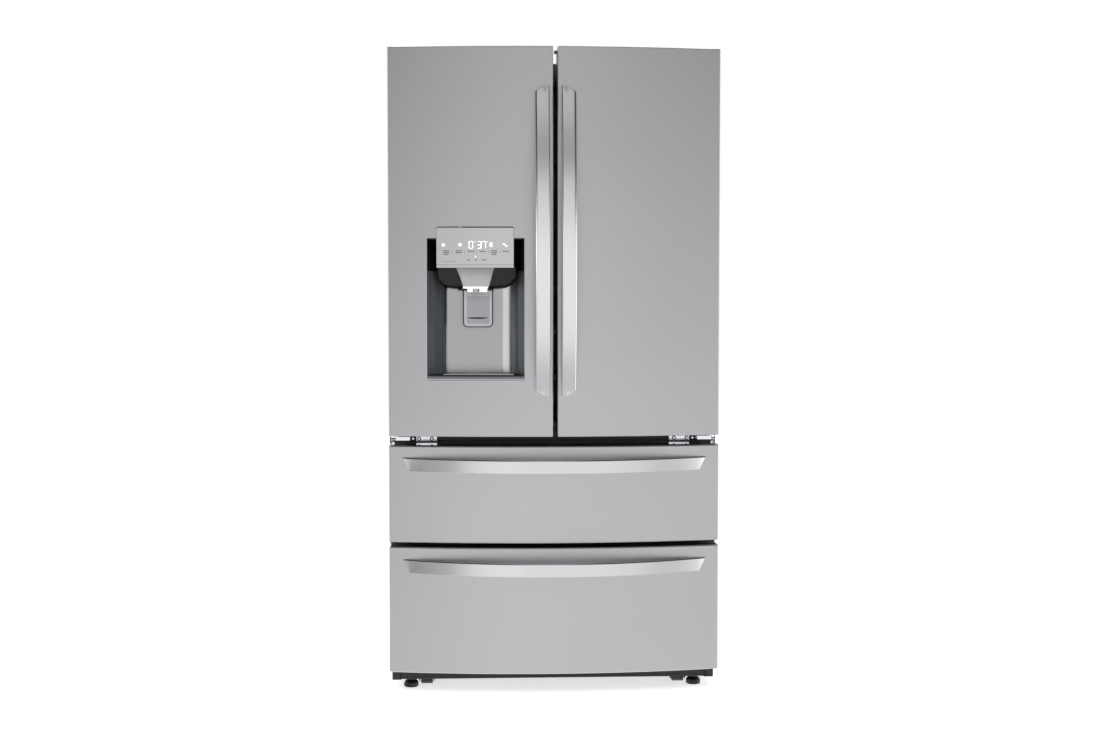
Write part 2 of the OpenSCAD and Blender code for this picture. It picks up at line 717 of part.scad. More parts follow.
recess = [-recess_x - recess_w / 2, -recess_x + recess_w / 2];
recess_z = [door_z[0] + recess_up, door_z[0] + recess_up + recess_h];
panel_z = [recess_z[1] + panel_rise - panel_h, recess_z[1] + panel_rise];
recess_wall = 6;
recess_back = y_door_back - 5;
housing_back = y_door_back + 2;
cavity = [recess[0] + recess_wall, recess[1] - recess_wall];
recess_in_z = [recess_z[0] + recess_wall, recess_z[1] - recess_wall];
funnel_y = y_edge + 32;
nozzle_y = y_edge + 6;
panel_body = 13;
paddle_pin = [y_edge + 20, panel_z[0] - 56];
paddle_pin_r = 3;
paddle_bottom = paddle_pin[1] - paddle_len;
outlet_bottom = panel_z[0] - 45;
chute_r = 30;

module ice_chute(grow = 0)
    translate([-recess_x, y_door_back - 35, recess_z[1] - 30]) rotate([-48, 0, 0])
        translate([0, 0, -10]) cylinder(r = chute_r + grow, h = 190, $fn = 64);

module left_door_skin() difference() {
    mirror([1, 0, 0]) door_skin();
    color("#b4b6b9") box(recess, [y_handle, y_door_back], recess_z);
}

module left_door_caps() mirror([1, 0, 0]) door_caps();

module left_door_core() color("#eceeef") {
    bump = [recess[0] - 14, recess[1] + 8];
    difference() {
        union() {
            mirror([1, 0, 0]) door_core();
            box(bump, [y_door_back - 1, y_door_back + 50], [recess_z[0] - 25, recess_z[1] + 50]);
            // Cover of the ice chute
            box([-recess_x - chute_r - 14, -recess_x + chute_r + 14], [y_door_back + 49, ice_y[1] - 10],
                [ice_z[0] - 55, ice_z[0]]);
            // Brackets that hold the flap's pins
            for (z = [flap_z[0] - 14 - clear, flap_z[1] + clear])
                box([-door_in - dyke_in - 1, -door_in - 40], [y_case + 3, y_case + 19], [z, z + 14]);
        }
        box(recess, [y_handle, housing_back], recess_z);
        ice_chute();
        upright(flap_pin[0], flap_pin[1], [flap_z[0] - 11, flap_z[0] + 1], flap_pin_r + fit);
        upright(flap_pin[0], flap_pin[1], [flap_z[1] - 1, flap_z[1] + 11], flap_pin_r + fit);
    }
}

module left_door_gasket() mirror([1, 0, 0]) door_gasket();
module left_door_handle() mirror([1, 0, 0]) door_handle();

// Walls round the recess, and the sheet behind them
module dispenser_housing() color("#77797b") difference() {
    union() {
        difference() {
            front_panel(recess, recess_back - fit, recess_z, 0.2);
            box(cavity, [y_handle, recess_back + 1], recess_in_z);
        }
        box(recess, [recess_back, housing_back], recess_z);
    }
    ice_chute();
}

module control_panel() color("#c6c8ca") {
    x = [-recess_x - panel_w / 2, -recess_x + panel_w / 2];
    difference() {
        front_panel(x, y_door_back, panel_z, -panel_out);
        bowed(panel_z);
    }
    difference() {
        front_panel([x[0] + 2, x[1] - 2], y_edge + 2, [panel_z[0] + 2, recess_in_z[1] - clear]);
        bowed(panel_z, panel_body);
    }
}

// The dark hood behind the panel, with the funnel of the ice outlet and the water nozzle
module dispenser_outlet() color("#3f4144") {
    hood_x = [-recess_x - 96, -recess_x + 96];
    ear = [paddle_w / 2 + clear, paddle_w / 2 + 9];
    difference() {
        union() {
            box(hood_x, [y_edge + 3, recess_back], [outlet_bottom, recess_in_z[1] - clear]);
            front_panel(hood_x, recess_back, [panel_z[0] + 2, recess_in_z[1] - clear], panel_body + clear);
            intersection() {
                translate([-recess_x, funnel_y, outlet_bottom + 1])
                    cylinder(r1 = 37, r2 = 50, h = panel_z[0] - outlet_bottom, $fn = 64);
                box(hood_x, [y_front, recess_back], panel_z);
            }
            upright(-recess_x, nozzle_y, [outlet_bottom - 12, outlet_bottom + 2], 6);
            // Ears that carry the paddle's pin
            for (x = [[-ear[1], -ear[0]], ear])
                box([x[0] - recess_x, x[1] - recess_x], [paddle_pin[0] - 8, paddle_pin[0] + 8],
                    [paddle_pin[1] - 8, outlet_bottom + 1]);
        }
        ice_chute();
        upright(-recess_x, funnel_y, [outlet_bottom - 1, recess_z[1] - 25], chute_r - 4);
        upright(-recess_x, nozzle_y, [outlet_bottom - 13, outlet_bottom + 20], 2.5);
        along_x([-recess_x - ear[1] - 1, -recess_x + ear[1] + 1], paddle_pin[0], paddle_pin[1],
            paddle_pin_r + fit);
    }
}

module dispenser_paddle() color("#3a3c3f") {
    x = [-recess_x - paddle_w / 2, -recess_x + paddle_w / 2];
    corner = 11;
    along_x(x, paddle_pin[0], paddle_pin[1], 5);
    along_x([x[0] - 8, x[1] + 8], paddle_pin[0], paddle_pin[1], paddle_pin_r);
    difference() {
        union() {
            box(x, [paddle_pin[0] - 4, paddle_pin[0] + 4], [paddle_bottom + corner, paddle_pin[1]]);
            box([x[0] + corner, x[1] - corner], [paddle_pin[0] - 4, paddle_pin[0] + 4],
                [paddle_bottom, paddle_bottom + corner + 1]);
            for (cx = [x[0] + corner, x[1] - corner])
                along_y(cx, [paddle_pin[0] - 4, paddle_pin[0] + 4], paddle_bottom + corner, corner);
        }
        box([x[0] + 9, x[1] - 9], [paddle_pin[0] - 5, paddle_pin[0] - 2],
            [paddle_bottom + 22, paddle_pin[1] - 14]);
    }
}

module dispenser_tray() color("#5b5d60") {
    x = [cavity[0] + 2, cavity[1] - 2];
    z = [recess_in_z[0], recess_in_z[0] + 9];
    difference() {
        front_panel(x, recess_back - 2, z, 4);
        for (i = [0 : 12]) box([x[0] + 14 + i * 17, x[0] + 20 + i * 17], [y_edge - 26, recess_back - 8],
            [z[0] + 2, z[1] + 1]);
    }
}

ice_x = [-half_w + dyke_out + dyke_t + clear, -door_in - dyke_in - dyke_t - clear];
ice_z = [recess_z[1] + 50, dyke_z[1] - dyke_t - clear];
ice_y = [y_door_back, y_door_back + 125];

module ice_compartment() color("#e6e8ea") difference() {
    box(ice_x, ice_y, ice_z);
    box([ice_x[0] + 10, ice_x[1] - 10], [ice_y[0] + 8, ice_y[1] + 1], [ice_z[0] + 10, ice_z[1] - 10]);
    ice_chute(2);
}

module ice_bin() color("#dfe8ee", 0.6) difference() {
    tub([ice_x[0] + 12, ice_x[1] - 12], [ice_y[0] + 10, ice_y[1] - 6], [ice_z[0] + 10, ice_z[0] + 200]);
    ice_chute(2);
}

module left_door_bins() color("#e9eef0", 0.6) {
    x = [-bin_x[1], -bin_x[0]];
    tub(x, [y_door_back, y_door_back + door_bin_d], [dyke_z[0] + dyke_t + 2, recess_z[0] - 30]);
    tub(x, [y_door_back + 50, y_door_back + door_bin_d + 2], [recess_z[0] + 110, recess_z[0] + 190]);
}

module mullion_flap() color("#1a1b1d") {
    box(flap_x, [y_case + clear, y_case + flap_t], flap_z);
    upright(flap_pin[0], flap_pin[1], [flap_z[0] - 10, flap_z[1] + 10], flap_pin_r);
}

// ---- right door ----------------------------------------------------------------------------------

module right_door_skin() door_skin();
module right_door_caps() door_caps();
module right_door_core() door_core();
module right_door_gasket() door_gasket();
module right_door_handle() door_handle();

module right_door_bins() color("#e9eef0", 0.6)
    for (n = [0 : 2]) {
        z = dyke_z[0] + dyke_t + 2 + n * 302;
        tub(bin_x, [y_door_back, y_door_back + door_bin_d], [z, z + 95]);
    }

// ---- drawers -------------------------------------------------------------------------------------

drawer_x = [-half_w, half_w];

module drawer_core(z) color("#eceeef") union() {
    front_panel([drawer_x[0] + sheet_t, drawer_x[1] - sheet_t], y_door_back, z, sheet_t);
    // Raised inner panel inside the gasket
    box([-basket_x + 20, basket_x - 20], [y_door_back - 1, y_door_back + 18], [z[0] + 60, z[1] - 60]);
}

module drawer_gasket(z) color("#55585b")
    frame_ring([drawer_x[0] + 24, drawer_x[1] - 24], [y_door_back, y_case - clear], [z[0] + 4, z[1] - 4],
        gasket_w);

module drawer_handle(z) color("#c4c6c8") {
    rise = handle_out + bow_at(drawer_handle_half) - y_front - 3;
    r = (pow(drawer_handle_half, 2) + rise * rise) / (2 * rise);
    low = z[1] - drawer_handle_drop;
    slant = 20;
    difference() {
        intersection() {
            translate([0, y_handle + r, low - 1]) cylinder(r = r, h = drawer_handle_h + 2, $fn = 720);
            translate([0, y_edge + 20, low]) rotate([90, 0, 0]) linear_extrude(handle_out + bow_sag + 60)
                polygon([[-drawer_handle_half + slant, 0], [drawer_handle_half - slant, 0],
                    [drawer_handle_half, drawer_handle_h], [-drawer_handle_half, drawer_handle_h]]);
        }
        translate([0, y_handle + r, low - 2]) cylinder(r = r - handle_t, h = drawer_handle_h + 4, $fn = 720);
        bowed(z);
    }
}

module drawer_basket(z, reach) color("#e9eef0", 0.6)
    tub([-basket_x, basket_x], [y_door_back + 18, reach], z);

// Moving rails of a drawer, fastened to its front
module drawer_slides(z, reach) color("#b8bbbe") both_sides()
    box(slide_x, [y_door_back, reach], [z, z + slide_h]);

module upper_drawer_skin() skin(drawer_x, upper_z);
module upper_drawer_core() drawer_core(upper_z);
module upper_drawer_gasket() drawer_gasket(upper_z);
module upper_drawer_handle() drawer_handle(upper_z);
module upper_drawer_basket() drawer_basket([upper_slide_z - 20, upper_z[1] - 79.4], upper_reach);
module upper_drawer_slides() drawer_slides(upper_slide_z, upper_reach);
module lower_drawer_skin() skin(drawer_x, lower_z);
module lower_drawer_core() drawer_core(lower_z);
module lower_drawer_gasket() drawer_gasket(lower_z);
module lower_drawer_handle() drawer_handle(lower_z);
module lower_drawer_basket() drawer_basket([lower_slide_z - 20, lower_z[1] - 40.4], lower_reach);
module lower_drawer_slides() drawer_slides(lower_slide_z, lower_reach);

outer_case();
rear_panel();
cabinet_insulation();
fresh_food_liner();
freezer_liner();
front_rails();
base_frame();
door_hinges();
hinge_covers();
glass_shelves();
shelf_frames();
crisper_drawers();
pantry_drawer();
air_duct();
evaporator();
evaporator_cover();
evaporator_fan();
compressor();
condenser();
condenser_fan();
machine_cover();
water_valve();
power_inlet();
drawer_guides();
left_foot();
right_foot();
front_rollers();
rear_rollers();
left_door_skin();
left_door_caps();
left_door_core();
left_door_gasket();
left_door_handle();
dispenser_housing();
control_panel();
dispenser_outlet();
dispenser_paddle();
dispenser_tray();
ice_compartment();
ice_bin();
left_door_bins();
mullion_flap();
right_door_skin();
right_door_caps();
right_door_core();
right_door_gasket();
right_door_handle();
right_door_bins();
upper_drawer_skin();
upper_drawer_core();
upper_drawer_gasket();
upper_drawer_handle();
upper_drawer_basket();
upper_drawer_slides();
lower_drawer_skin();
lower_drawer_core();
lower_drawer_gasket();
lower_drawer_handle();
lower_drawer_basket();
lower_drawer_slides();
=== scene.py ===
import json
import math

import bmesh
import bpy
from mathutils import Matrix, Vector

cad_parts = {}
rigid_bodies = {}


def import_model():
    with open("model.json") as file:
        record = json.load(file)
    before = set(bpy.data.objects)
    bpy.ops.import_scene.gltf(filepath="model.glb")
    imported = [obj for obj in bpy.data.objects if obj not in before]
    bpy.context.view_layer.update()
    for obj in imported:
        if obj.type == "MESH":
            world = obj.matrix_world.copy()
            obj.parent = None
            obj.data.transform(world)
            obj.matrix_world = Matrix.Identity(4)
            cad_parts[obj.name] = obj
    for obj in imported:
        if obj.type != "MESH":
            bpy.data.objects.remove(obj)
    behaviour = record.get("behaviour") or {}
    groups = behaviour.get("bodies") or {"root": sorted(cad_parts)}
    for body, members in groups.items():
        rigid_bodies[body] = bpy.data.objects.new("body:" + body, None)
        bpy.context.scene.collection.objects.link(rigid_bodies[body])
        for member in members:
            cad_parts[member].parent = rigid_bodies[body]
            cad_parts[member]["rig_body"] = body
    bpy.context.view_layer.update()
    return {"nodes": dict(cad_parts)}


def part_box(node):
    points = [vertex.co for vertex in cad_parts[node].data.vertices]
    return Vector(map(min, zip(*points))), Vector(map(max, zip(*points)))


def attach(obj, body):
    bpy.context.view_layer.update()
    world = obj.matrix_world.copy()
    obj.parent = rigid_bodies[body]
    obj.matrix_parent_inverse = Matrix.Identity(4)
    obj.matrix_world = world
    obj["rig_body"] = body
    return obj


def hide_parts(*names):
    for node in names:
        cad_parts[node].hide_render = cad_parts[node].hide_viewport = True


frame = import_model()

# ---- Studio --------------------------------------------------------------------------------------
# A white sweep under and behind the refrigerator, an even room round it, and the camera a little
# left of the middle at chest height. Polished metal sees two wide soft boxes with darker gaps.


def linear(hex_colour):
    """The linear colour of a hex sRGB value."""
    channels = [int(hex_colour[i:i + 2], 16) / 255 for i in (1, 3, 5)]
    return [c / 12.92 if c <= 0.04045 else ((c + 0.055) / 1.055) ** 2.4 for c in channels] + [1.0]


def add_node(tree, kind, settings=None, *sources, **links):
    """Adds a node with its settings, and links sources to its inputs in order or by name."""
    node = tree.nodes.new(kind)
    for key, value in (settings or {}).items():
        if hasattr(node, key):
            setattr(node, key, value)
        else:
            node.inputs[key].default_value = value
    for key, source in (*enumerate(sources), *links.items()):
        tree.links.new(source, node.inputs[key.replace("_", " ") if isinstance(key, str) else key])
    return node


def set_ramp(ramp, stops):
    """Grey levels of a colour ramp, given as (position, level)."""
    elements = ramp.color_ramp.elements
    while len(elements) < len(stops):
        elements.new(0.5)
    for element, (position, level) in zip(elements, stops):
        element.position = position
        element.color = (level, level, level, 1)


scene = bpy.context.scene
scene.view_settings.view_transform = "Standard"
world = bpy.data.worlds.new("pale_room")
scene.world = world
world.use_nodes = True
sky = world.node_tree
sky.nodes.clear()
ray = add_node(sky, "ShaderNodeLightPath")
place = add_node(sky, "ShaderNodeTexCoord")
axes = add_node(sky, "ShaderNodeSeparateXYZ", None, place.outputs["Generated"])
times = {"operation": "MULTIPLY"}
smooth = {"interpolation_type": "SMOOTHSTEP"}
all_round = {"From Min": -1.0, "From Max": 1.0}

# The room's light by height and by side
rise = add_node(sky, "ShaderNodeMapRange", all_round, axes.outputs["Z"])
up_and_down = add_node(sky, "ShaderNodeValToRGB", None, rise.outputs[0])
set_ramp(up_and_down, [(0.0, 1.0), (0.20, 0.85), (0.25, 0.62), (0.289, 0.66), (0.32, 0.90), (0.36, 1.0),
                       (0.50, 1.0), (0.56, 0.88), (0.62, 0.80), (0.655, 0.42), (0.688, 0.38), (0.72, 0.52),
                       (0.755, 0.66), (0.785, 0.62), (0.82, 0.42), (1.0, 0.38)])
swing = add_node(sky, "ShaderNodeMapRange", all_round, axes.outputs["X"])
side_to_side = add_node(sky, "ShaderNodeValToRGB", None, swing.outputs[0])
set_ramp(side_to_side, [(0.0, 1.0), (0.08, 1.0), (0.105, 0.38), (0.122, 0.30), (0.165, 0.25), (0.208, 0.29),
                        (0.257, 0.46), (0.31, 0.52), (0.386, 0.535), (0.44, 0.508), (0.56, 0.508),
                        (0.664, 0.515), (0.78, 0.465), (0.835, 0.38), (0.883, 0.4), (0.914, 0.46),
                        (0.945, 0.85), (1.0, 1.0)])
boxes = add_node(sky, "ShaderNodeMix", {"data_type": "RGBA", "blend_type": "MULTIPLY", "Factor": 1.0},
                 A=up_and_down.outputs["Color"], B=side_to_side.outputs["Color"])

# Dark cloths above to both sides, and a black flag low down on the far left
off_side = add_node(sky, "ShaderNodeMath", {"operation": "ABSOLUTE"}, axes.outputs["X"])
aside = add_node(sky, "ShaderNodeMapRange", {**smooth, "From Min": 0.08, "From Max": 0.24},
                 off_side.outputs[0])
above = add_node(sky, "ShaderNodeMapRange", {**smooth, "From Min": 0.05, "From Max": 0.17},
                 axes.outputs["Z"])
corner = add_node(sky, "ShaderNodeMath", times, aside.outputs[0], above.outputs[0])
darker = add_node(sky, "ShaderNodeMapRange", {"To Min": 1.93, "To Max": 0.2}, corner.outputs[0])
far_out = add_node(sky, "ShaderNodeMapRange", {**smooth, "From Min": -0.68, "From Max": -0.79},
                   axes.outputs["X"])
below = add_node(sky, "ShaderNodeMapRange", {**smooth, "From Min": -0.05, "From Max": -0.11},
                 axes.outputs["Z"])
flag = add_node(sky, "ShaderNodeMath", times, far_out.outputs[0], below.outputs[0])
shade = add_node(sky, "ShaderNodeMapRange", {"To Min": 1.0, "To Max": 0.38}, flag.outputs[0])
gain = add_node(sky, "ShaderNodeMath", times, darker.outputs[0], shade.outputs[0])
strong = add_node(sky, "ShaderNodeVectorMath", {"operation": "SCALE"}, boxes.outputs["Result"],
                  Scale=gain.outputs[0])

# A plain bright wall behind, even light on matt surfaces, and white for what the lens sees directly
behind = add_node(sky, "ShaderNodeMapRange", {**smooth, "From Min": 0.0, "From Max": 0.35},
                  axes.outputs["Y"])
wall_light = add_node(sky, "ShaderNodeMix", {"data_type": "RGBA", "B": (1.3, 1.3, 1.3, 1)},
                      Factor=behind.outputs[0], A=strong.outputs["Vector"])
reflected = add_node(sky, "ShaderNodeMix", {"data_type": "RGBA", "A": (0.5, 0.5, 0.5, 1)},
                    Factor=ray.outputs["Is Glossy Ray"], B=wall_light.outputs["Result"])
seen = add_node(sky, "ShaderNodeMath", {"operation": "MAXIMUM"}, ray.outputs["Is Camera Ray"],
                ray.outputs["Is Transmission Ray"])
backdrop = add_node(sky, "ShaderNodeMix", {"data_type": "RGBA", "B": (1, 1, 1, 1)}, Factor=seen.outputs[0],
                    A=reflected.outputs["Result"])
light = add_node(sky, "ShaderNodeBackground", {"Strength": 1.0}, Color=backdrop.outputs["Result"])
add_node(sky, "ShaderNodeOutputWorld", None, light.outputs["Background"])

floor_mesh = bpy.data.meshes.new("floor")
bm = bmesh.new()
bmesh.ops.create_grid(bm, x_segments=1, y_segments=1, size=14)
bm.to_mesh(floor_mesh)
bm.free()
floor = bpy.data.objects.new("floor", floor_mesh)
scene.collection.objects.link(floor)
paper = bpy.data.materials.new("white_paper_sweep")
paper.use_nodes = True
tree = paper.node_tree
tree.nodes.clear()
ray = add_node(tree, "ShaderNodeLightPath")
matt = add_node(tree, "ShaderNodeBsdfDiffuse", {"Color": linear("#ececec")})
glow = add_node(tree, "ShaderNodeEmission", {"Color": (1, 1, 1, 1), "Strength": 0.68})
both = add_node(tree, "ShaderNodeAddShader", None, matt.outputs[0], glow.outputs[0])
pick = add_node(tree, "ShaderNodeMixShader", None, ray.outputs["Is Camera Ray"], matt.outputs[0],
                both.outputs[0])
add_node(tree, "ShaderNodeOutputMaterial", None, pick.outputs[0])
floor_mesh.materials.append(paper)
floor.visible_glossy = False

for name, at, power in (("key_light", (-3.2, -5.2, 3.8), 95), ("fill_light", (3.8, -4.6, 2.6), 55),
                        ("top_light", (-0.3, -3.0, 4.2), 170)):
    lamp = bpy.data.lights.new(name, "AREA")
    lamp.shape = "SQUARE"
    lamp.size = 4.0
    lamp.energy = power
    holder = bpy.data.objects.new(name, lamp)
    holder.location = at
    holder.rotation_euler = (Vector((0, 0, 0.9)) - Vector(at)).to_track_quat("-Z", "Y").to_euler()
    holder.visible_glossy = False
    scene.collection.objects.link(holder)

lens = bpy.data.cameras.new("camera")
lens.lens = 54.42
lens.sensor_width = 36
camera = bpy.data.objects.new("camera", lens)
camera.location = (-0.2234, -4.8895, 1.1174)
camera.rotation_euler = (math.radians(90 - 2.64), 0, math.radians(-2.66))
scene.collection.objects.link(camera)
scene.camera = camera

# ---- Cabinet case --------------------------------------------------------------------------------
# One wrapper of prepainted steel sheet folded over the top and both sides, with a leather-like
# texture on the paint. Its front edges are folded in towards the liner.


def mm(x, y, z):
    """A point or a vector given in millimetres."""
    return Vector((x, y, z)) / 1000


def spread(start, stop, count, also=()):
    """Evenly spaced values, with some exact ones put in place of their nearest."""
    values = [start + (stop - start) * i / count for i in range(count + 1)]
    for exact in also:
        nearest = min(range(1, count), key=lambda i: abs(values[i] - exact))
        values[nearest] = exact
    return values


def new_surface(name, **values):
    """A material with plain values on its shader: also gives its tree, shader and object coordinates."""
    surface = bpy.data.materials.new(name)
    surface.use_nodes = True
    tree = surface.node_tree
    shader = tree.nodes["Principled BSDF"]
    for key, value in values.items():
        shader.inputs[key.replace("_", " ")].default_value = value
    return surface, tree, shader, add_node(tree, "ShaderNodeTexCoord").outputs["Object"]


def uneven(tree, shader, colour, tones, gloss, relief=None):
    """Lets patterns change the colour between two shares of it, the roughness and the height in mm."""
    base = linear(colour)[:3]
    pattern, darkest, lightest = tones
    tone = add_node(tree, "ShaderNodeMix", {"data_type": "RGBA", "A": [*(c * darkest for c in base), 1],
                                            "B": [*(min(1, c * lightest) for c in base), 1]},
                    Factor=pattern)
    tree.links.new(tone.outputs["Result"], shader.inputs["Base Color"])
    pattern, smoothest, roughest = gloss
    rough = add_node(tree, "ShaderNodeMapRange", {"To Min": smoothest, "To Max": roughest}, pattern)
    tree.links.new(rough.outputs[0], shader.inputs["Roughness"])
    if relief:
        pattern, strength, depth_mm = relief
        bump = add_node(tree, "ShaderNodeBump", {"Strength": strength, "Distance": depth_mm / 1000},
                        Height=pattern)
        tree.links.new(bump.outputs[0], shader.inputs["Normal"])


def painted_steel(name, colour, roughness=0.42, grain_mm=1.4, depth_mm=0.05):
    """Stove enamel with a fine wrinkle over flat steel sheet."""
    paint, tree, shader, where = new_surface(name)
    wrinkle = add_node(tree, "ShaderNodeTexNoise", {"Scale": 1000 / grain_mm, "Detail": 2.0},
                       where).outputs["Fac"]
    patch = add_node(tree, "ShaderNodeTexNoise", {"Scale": 3.0, "Detail": 3.0}, where).outputs["Fac"]
    uneven(tree, shader, colour, (patch, 0.93, 1.07), (patch, roughness - 0.06, roughness + 0.06),
           (wrinkle, 0.5, depth_mm))
    return paint


def make_piece(name, bm, material, body, nodes=(), angle=35, wall=0, outward=False):
    """Turns a finished bmesh into an object that rides on a body and stands for CAD nodes."""
    bmesh.ops.recalc_face_normals(bm, faces=bm.faces)
    for face in bm.faces:
        face.smooth = True
    for edge in bm.edges:
        if len(edge.link_faces) == 2:
            edge.smooth = edge.calc_face_angle(0) < math.radians(angle)
    mesh = bpy.data.meshes.new(name)
    bm.to_mesh(mesh)
    bm.free()
    piece = bpy.data.objects.new(name, mesh)
    scene.collection.objects.link(piece)
    mesh.materials.append(material)
    if wall:
        sheet = piece.modifiers.new("sheet", "SOLIDIFY")
        sheet.thickness = wall / 1000
        sheet.offset = 1 if outward else -1
        sheet.use_even_offset = True
    even = piece.modifiers.new("even_shading", "WEIGHTED_NORMAL")
    even.keep_sharp = True
    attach(piece, body)
    if nodes:
        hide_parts(*nodes)
    return piece


def bevel(bm, geom, radius, segments, affect="EDGES", clamp=False):
    """Rounds edges or corners, by a radius in millimetres."""
    return bmesh.ops.bevel(bm, geom=geom, offset=radius / 1000, segments=segments, profile=0.5,
                           affect=affect, clamp_overlap=clamp, material=-1)


def eased(name, node, material, radius, segments=2, sharper=30):
    """A copy of a CAD solid with its sharp edges rounded, as pressed, moulded or deburred."""
    bm = bmesh.new()
    bm.from_mesh(frame["nodes"][node].data)
    bmesh.ops.remove_doubles(bm, verts=bm.verts, dist=0.00002)
    bmesh.ops.dissolve_limit(bm, angle_limit=0.01, verts=bm.verts, edges=bm.edges)
    sharp = [e for e in bm.edges if e.is_manifold and e.calc_face_angle(0) > math.radians(sharper)]
    bevel(bm, sharp, radius, segments, clamp=True)
    return make_piece(name, bm, material, frame["nodes"][node]["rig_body"], [node])


def block(bm, low, high):
    """A box between two corners, in millimetres."""
    low, high = mm(*low), mm(*high)
    place = Matrix.Translation((low + high) / 2) @ Matrix.Diagonal((*(high - low), 1))
    return bmesh.ops.create_cube(bm, size=1, matrix=place)["verts"]


def rounded(bm, verts, radius, segments=3, pick=None, sharper=30):
    """Rounds the sharp edges of some vertices, by a radius in millimetres."""
    bmesh.ops.recalc_face_normals(bm, faces=bm.faces)
    edges = {e for v in verts if v.is_valid for e in v.link_edges
             if e.is_manifold and e.calc_face_angle(0) > math.radians(sharper)}
    if pick:
        edges = {e for e in edges if pick((e.verts[0].co + e.verts[1].co) * 500,
                                          (e.verts[1].co - e.verts[0].co) * 1000)}
    made = bevel(bm, list(edges), radius, segments)
    return [v for v in verts if v.is_valid] + made["verts"]


def soft_block(bm, low, high, *rounding):
    """A box with rounded edges: the corners, then the radius, segments and choice of edges."""
    return rounded(bm, block(bm, low, high), *rounding)


def lengthwise(at, way):
    """Picks the edges that run the length of a rail or bar across the front."""
    return abs(way.x) > 100


def box_mm(node):
    """The low and the high corner of a CAD solid, in millimetres."""
    return [[round(c * 1000, 3) for c in v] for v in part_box(node)]


case_enamel = painted_steel("dark_textured_enamel", "#4d4e50")
case_low, case_high = box_mm("outer_case")
half_width = case_high[0]
eased("case_wrapper", "outer_case", case_enamel, 1.5)

# ---- Foam and rear panel -------------------------------------------------------------------------
# Polyurethane foam, poured in place, fills the space between the case and the liners and glues them
# into one stiff cabinet. A zinc-coated steel sheet with pressed beads closes the back over it.


def foam_mass(name, colour):
    """Rigid polyurethane foam: closed cells with a dull skin."""
    foam, tree, shader, where = new_surface(name, Base_Color=linear(colour), Roughness=0.85, IOR=1.45)
    cells = add_node(tree, "ShaderNodeTexVoronoi", {"Scale": 1000 / 2.5}, where)
    bump = add_node(tree, "ShaderNodeBump", {"Strength": 0.6, "Distance": 0.0003},
                    Height=cells.outputs["Distance"])
    tree.links.new(bump.outputs[0], shader.inputs["Normal"])
    return foam


def dress(node, material):
    """Gives a CAD solid that keeps its own shape a better material."""
    materials = frame["nodes"][node].data.materials
    materials.clear()
    materials.append(material)


polyurethane = foam_mass("poured_polyurethane_foam", "#d9c68f")
dress("cabinet_insulation", polyurethane)


def galvanised(name, colour, roughness=0.34, spangle_mm=9.0):
    """Zinc-coated steel, with the faint spangle of the coating."""
    metal, tree, shader, where = new_surface(name, Metallic=1.0)
    crystal = add_node(tree, "ShaderNodeTexVoronoi", {"Scale": 1000 / spangle_mm}, where)
    grey = add_node(tree, "ShaderNodeRGBToBW", None, crystal.outputs["Color"]).outputs[0]
    uneven(tree, shader, colour, (grey, 0.88, 1.1), (grey, roughness - 0.08, roughness + 0.08))
    return metal


back_zinc = galvanised("zinc_coated_back_sheet", "#a9acaf", 0.42, 12.0)
low, high = box_mm("rear_panel")
bm = bmesh.new()
block(bm, (low[0], low[1], low[2]), (high[0], high[1] - 0.4, high[2]))
for x in spread(low[0] + 90, high[0] - 90, 4):
    soft_block(bm, (x - 9, high[1] - 0.7, low[2] + 70), (x + 9, high[1], high[2] - 70), 0.35, 2)
soft_block(bm, (low[0] + 22, high[1] - 0.7, high[2] - 34), (high[0] - 22, high[1], high[2] - 28), 0.3, 2)
make_piece("back_sheet", bm, back_zinc, "cabinet", ["rear_panel"])
sheet_screw = galvanised("zinc_sheet_metal_screw", "#c4c7ca", 0.3, 2.0)
bm = bmesh.new()
for x in (low[0] + 10, high[0] - 10):
    for z in spread(low[2] + 30, high[2] - 30, 7):
        place = Matrix.Translation(mm(x, high[1] - 0.2, z)) @ Matrix.Rotation(-math.pi / 2, 4, "X")
        bmesh.ops.create_cone(bm, cap_ends=True, segments=20, radius1=0.0042, radius2=0.0036, depth=0.0004,
                              matrix=place)
make_piece("back_sheet_screws", bm, sheet_screw, "cabinet")

# ---- Liners --------------------------------------------------------------------------------------
# The white inner boxes are vacuum-formed from high-impact polystyrene, so every inside corner has a
# generous radius. Ledges formed in the sides of the upper one carry the shelves.


def moulded(name, colour, roughness, grain_mm=1.2, depth_mm=0.02, metallic=0.0, vary=0.05):
    """Injection-moulded or formed plastic: a fine even grain and slight changes of gloss."""
    plastic, tree, shader, where = new_surface(name, Metallic=metallic)
    if metallic < 1:
        shader.inputs["IOR"].default_value = 1.53
    grain = add_node(tree, "ShaderNodeTexNoise", {"Scale": 1000 / grain_mm, "Detail": 3.0},
                     where).outputs["Fac"]
    patch = add_node(tree, "ShaderNodeTexNoise", {"Scale": 9.0, "Detail": 2.0}, where).outputs["Fac"]
    uneven(tree, shader, colour, (patch, 1 - vary, 1 + vary), (patch, roughness - 0.04, roughness + 0.04),
           (grain, 0.4, depth_mm))
    return plastic


def round_loop(bm, low, high, z, corner, steps=4):
    """A level loop of edges round a rectangle with round corners, in millimetres."""
    place = Matrix.Translation(mm((low[0] + high[0]) / 2, (low[1] + high[1]) / 2, z))
    place @= Matrix.Diagonal(((high[0] - low[0]) / 1000, (high[1] - low[1]) / 1000, 1, 1))
    square = bmesh.ops.create_grid(bm, x_segments=1, y_segments=1, size=0.5, matrix=place)["verts"]
    made = bevel(bm, square, corner, steps, "VERTICES")
    face = made["verts"][0].link_faces[0]
    edges = list(face.edges)
    bmesh.ops.delete(bm, geom=[face], context="FACES_ONLY")
    return edges


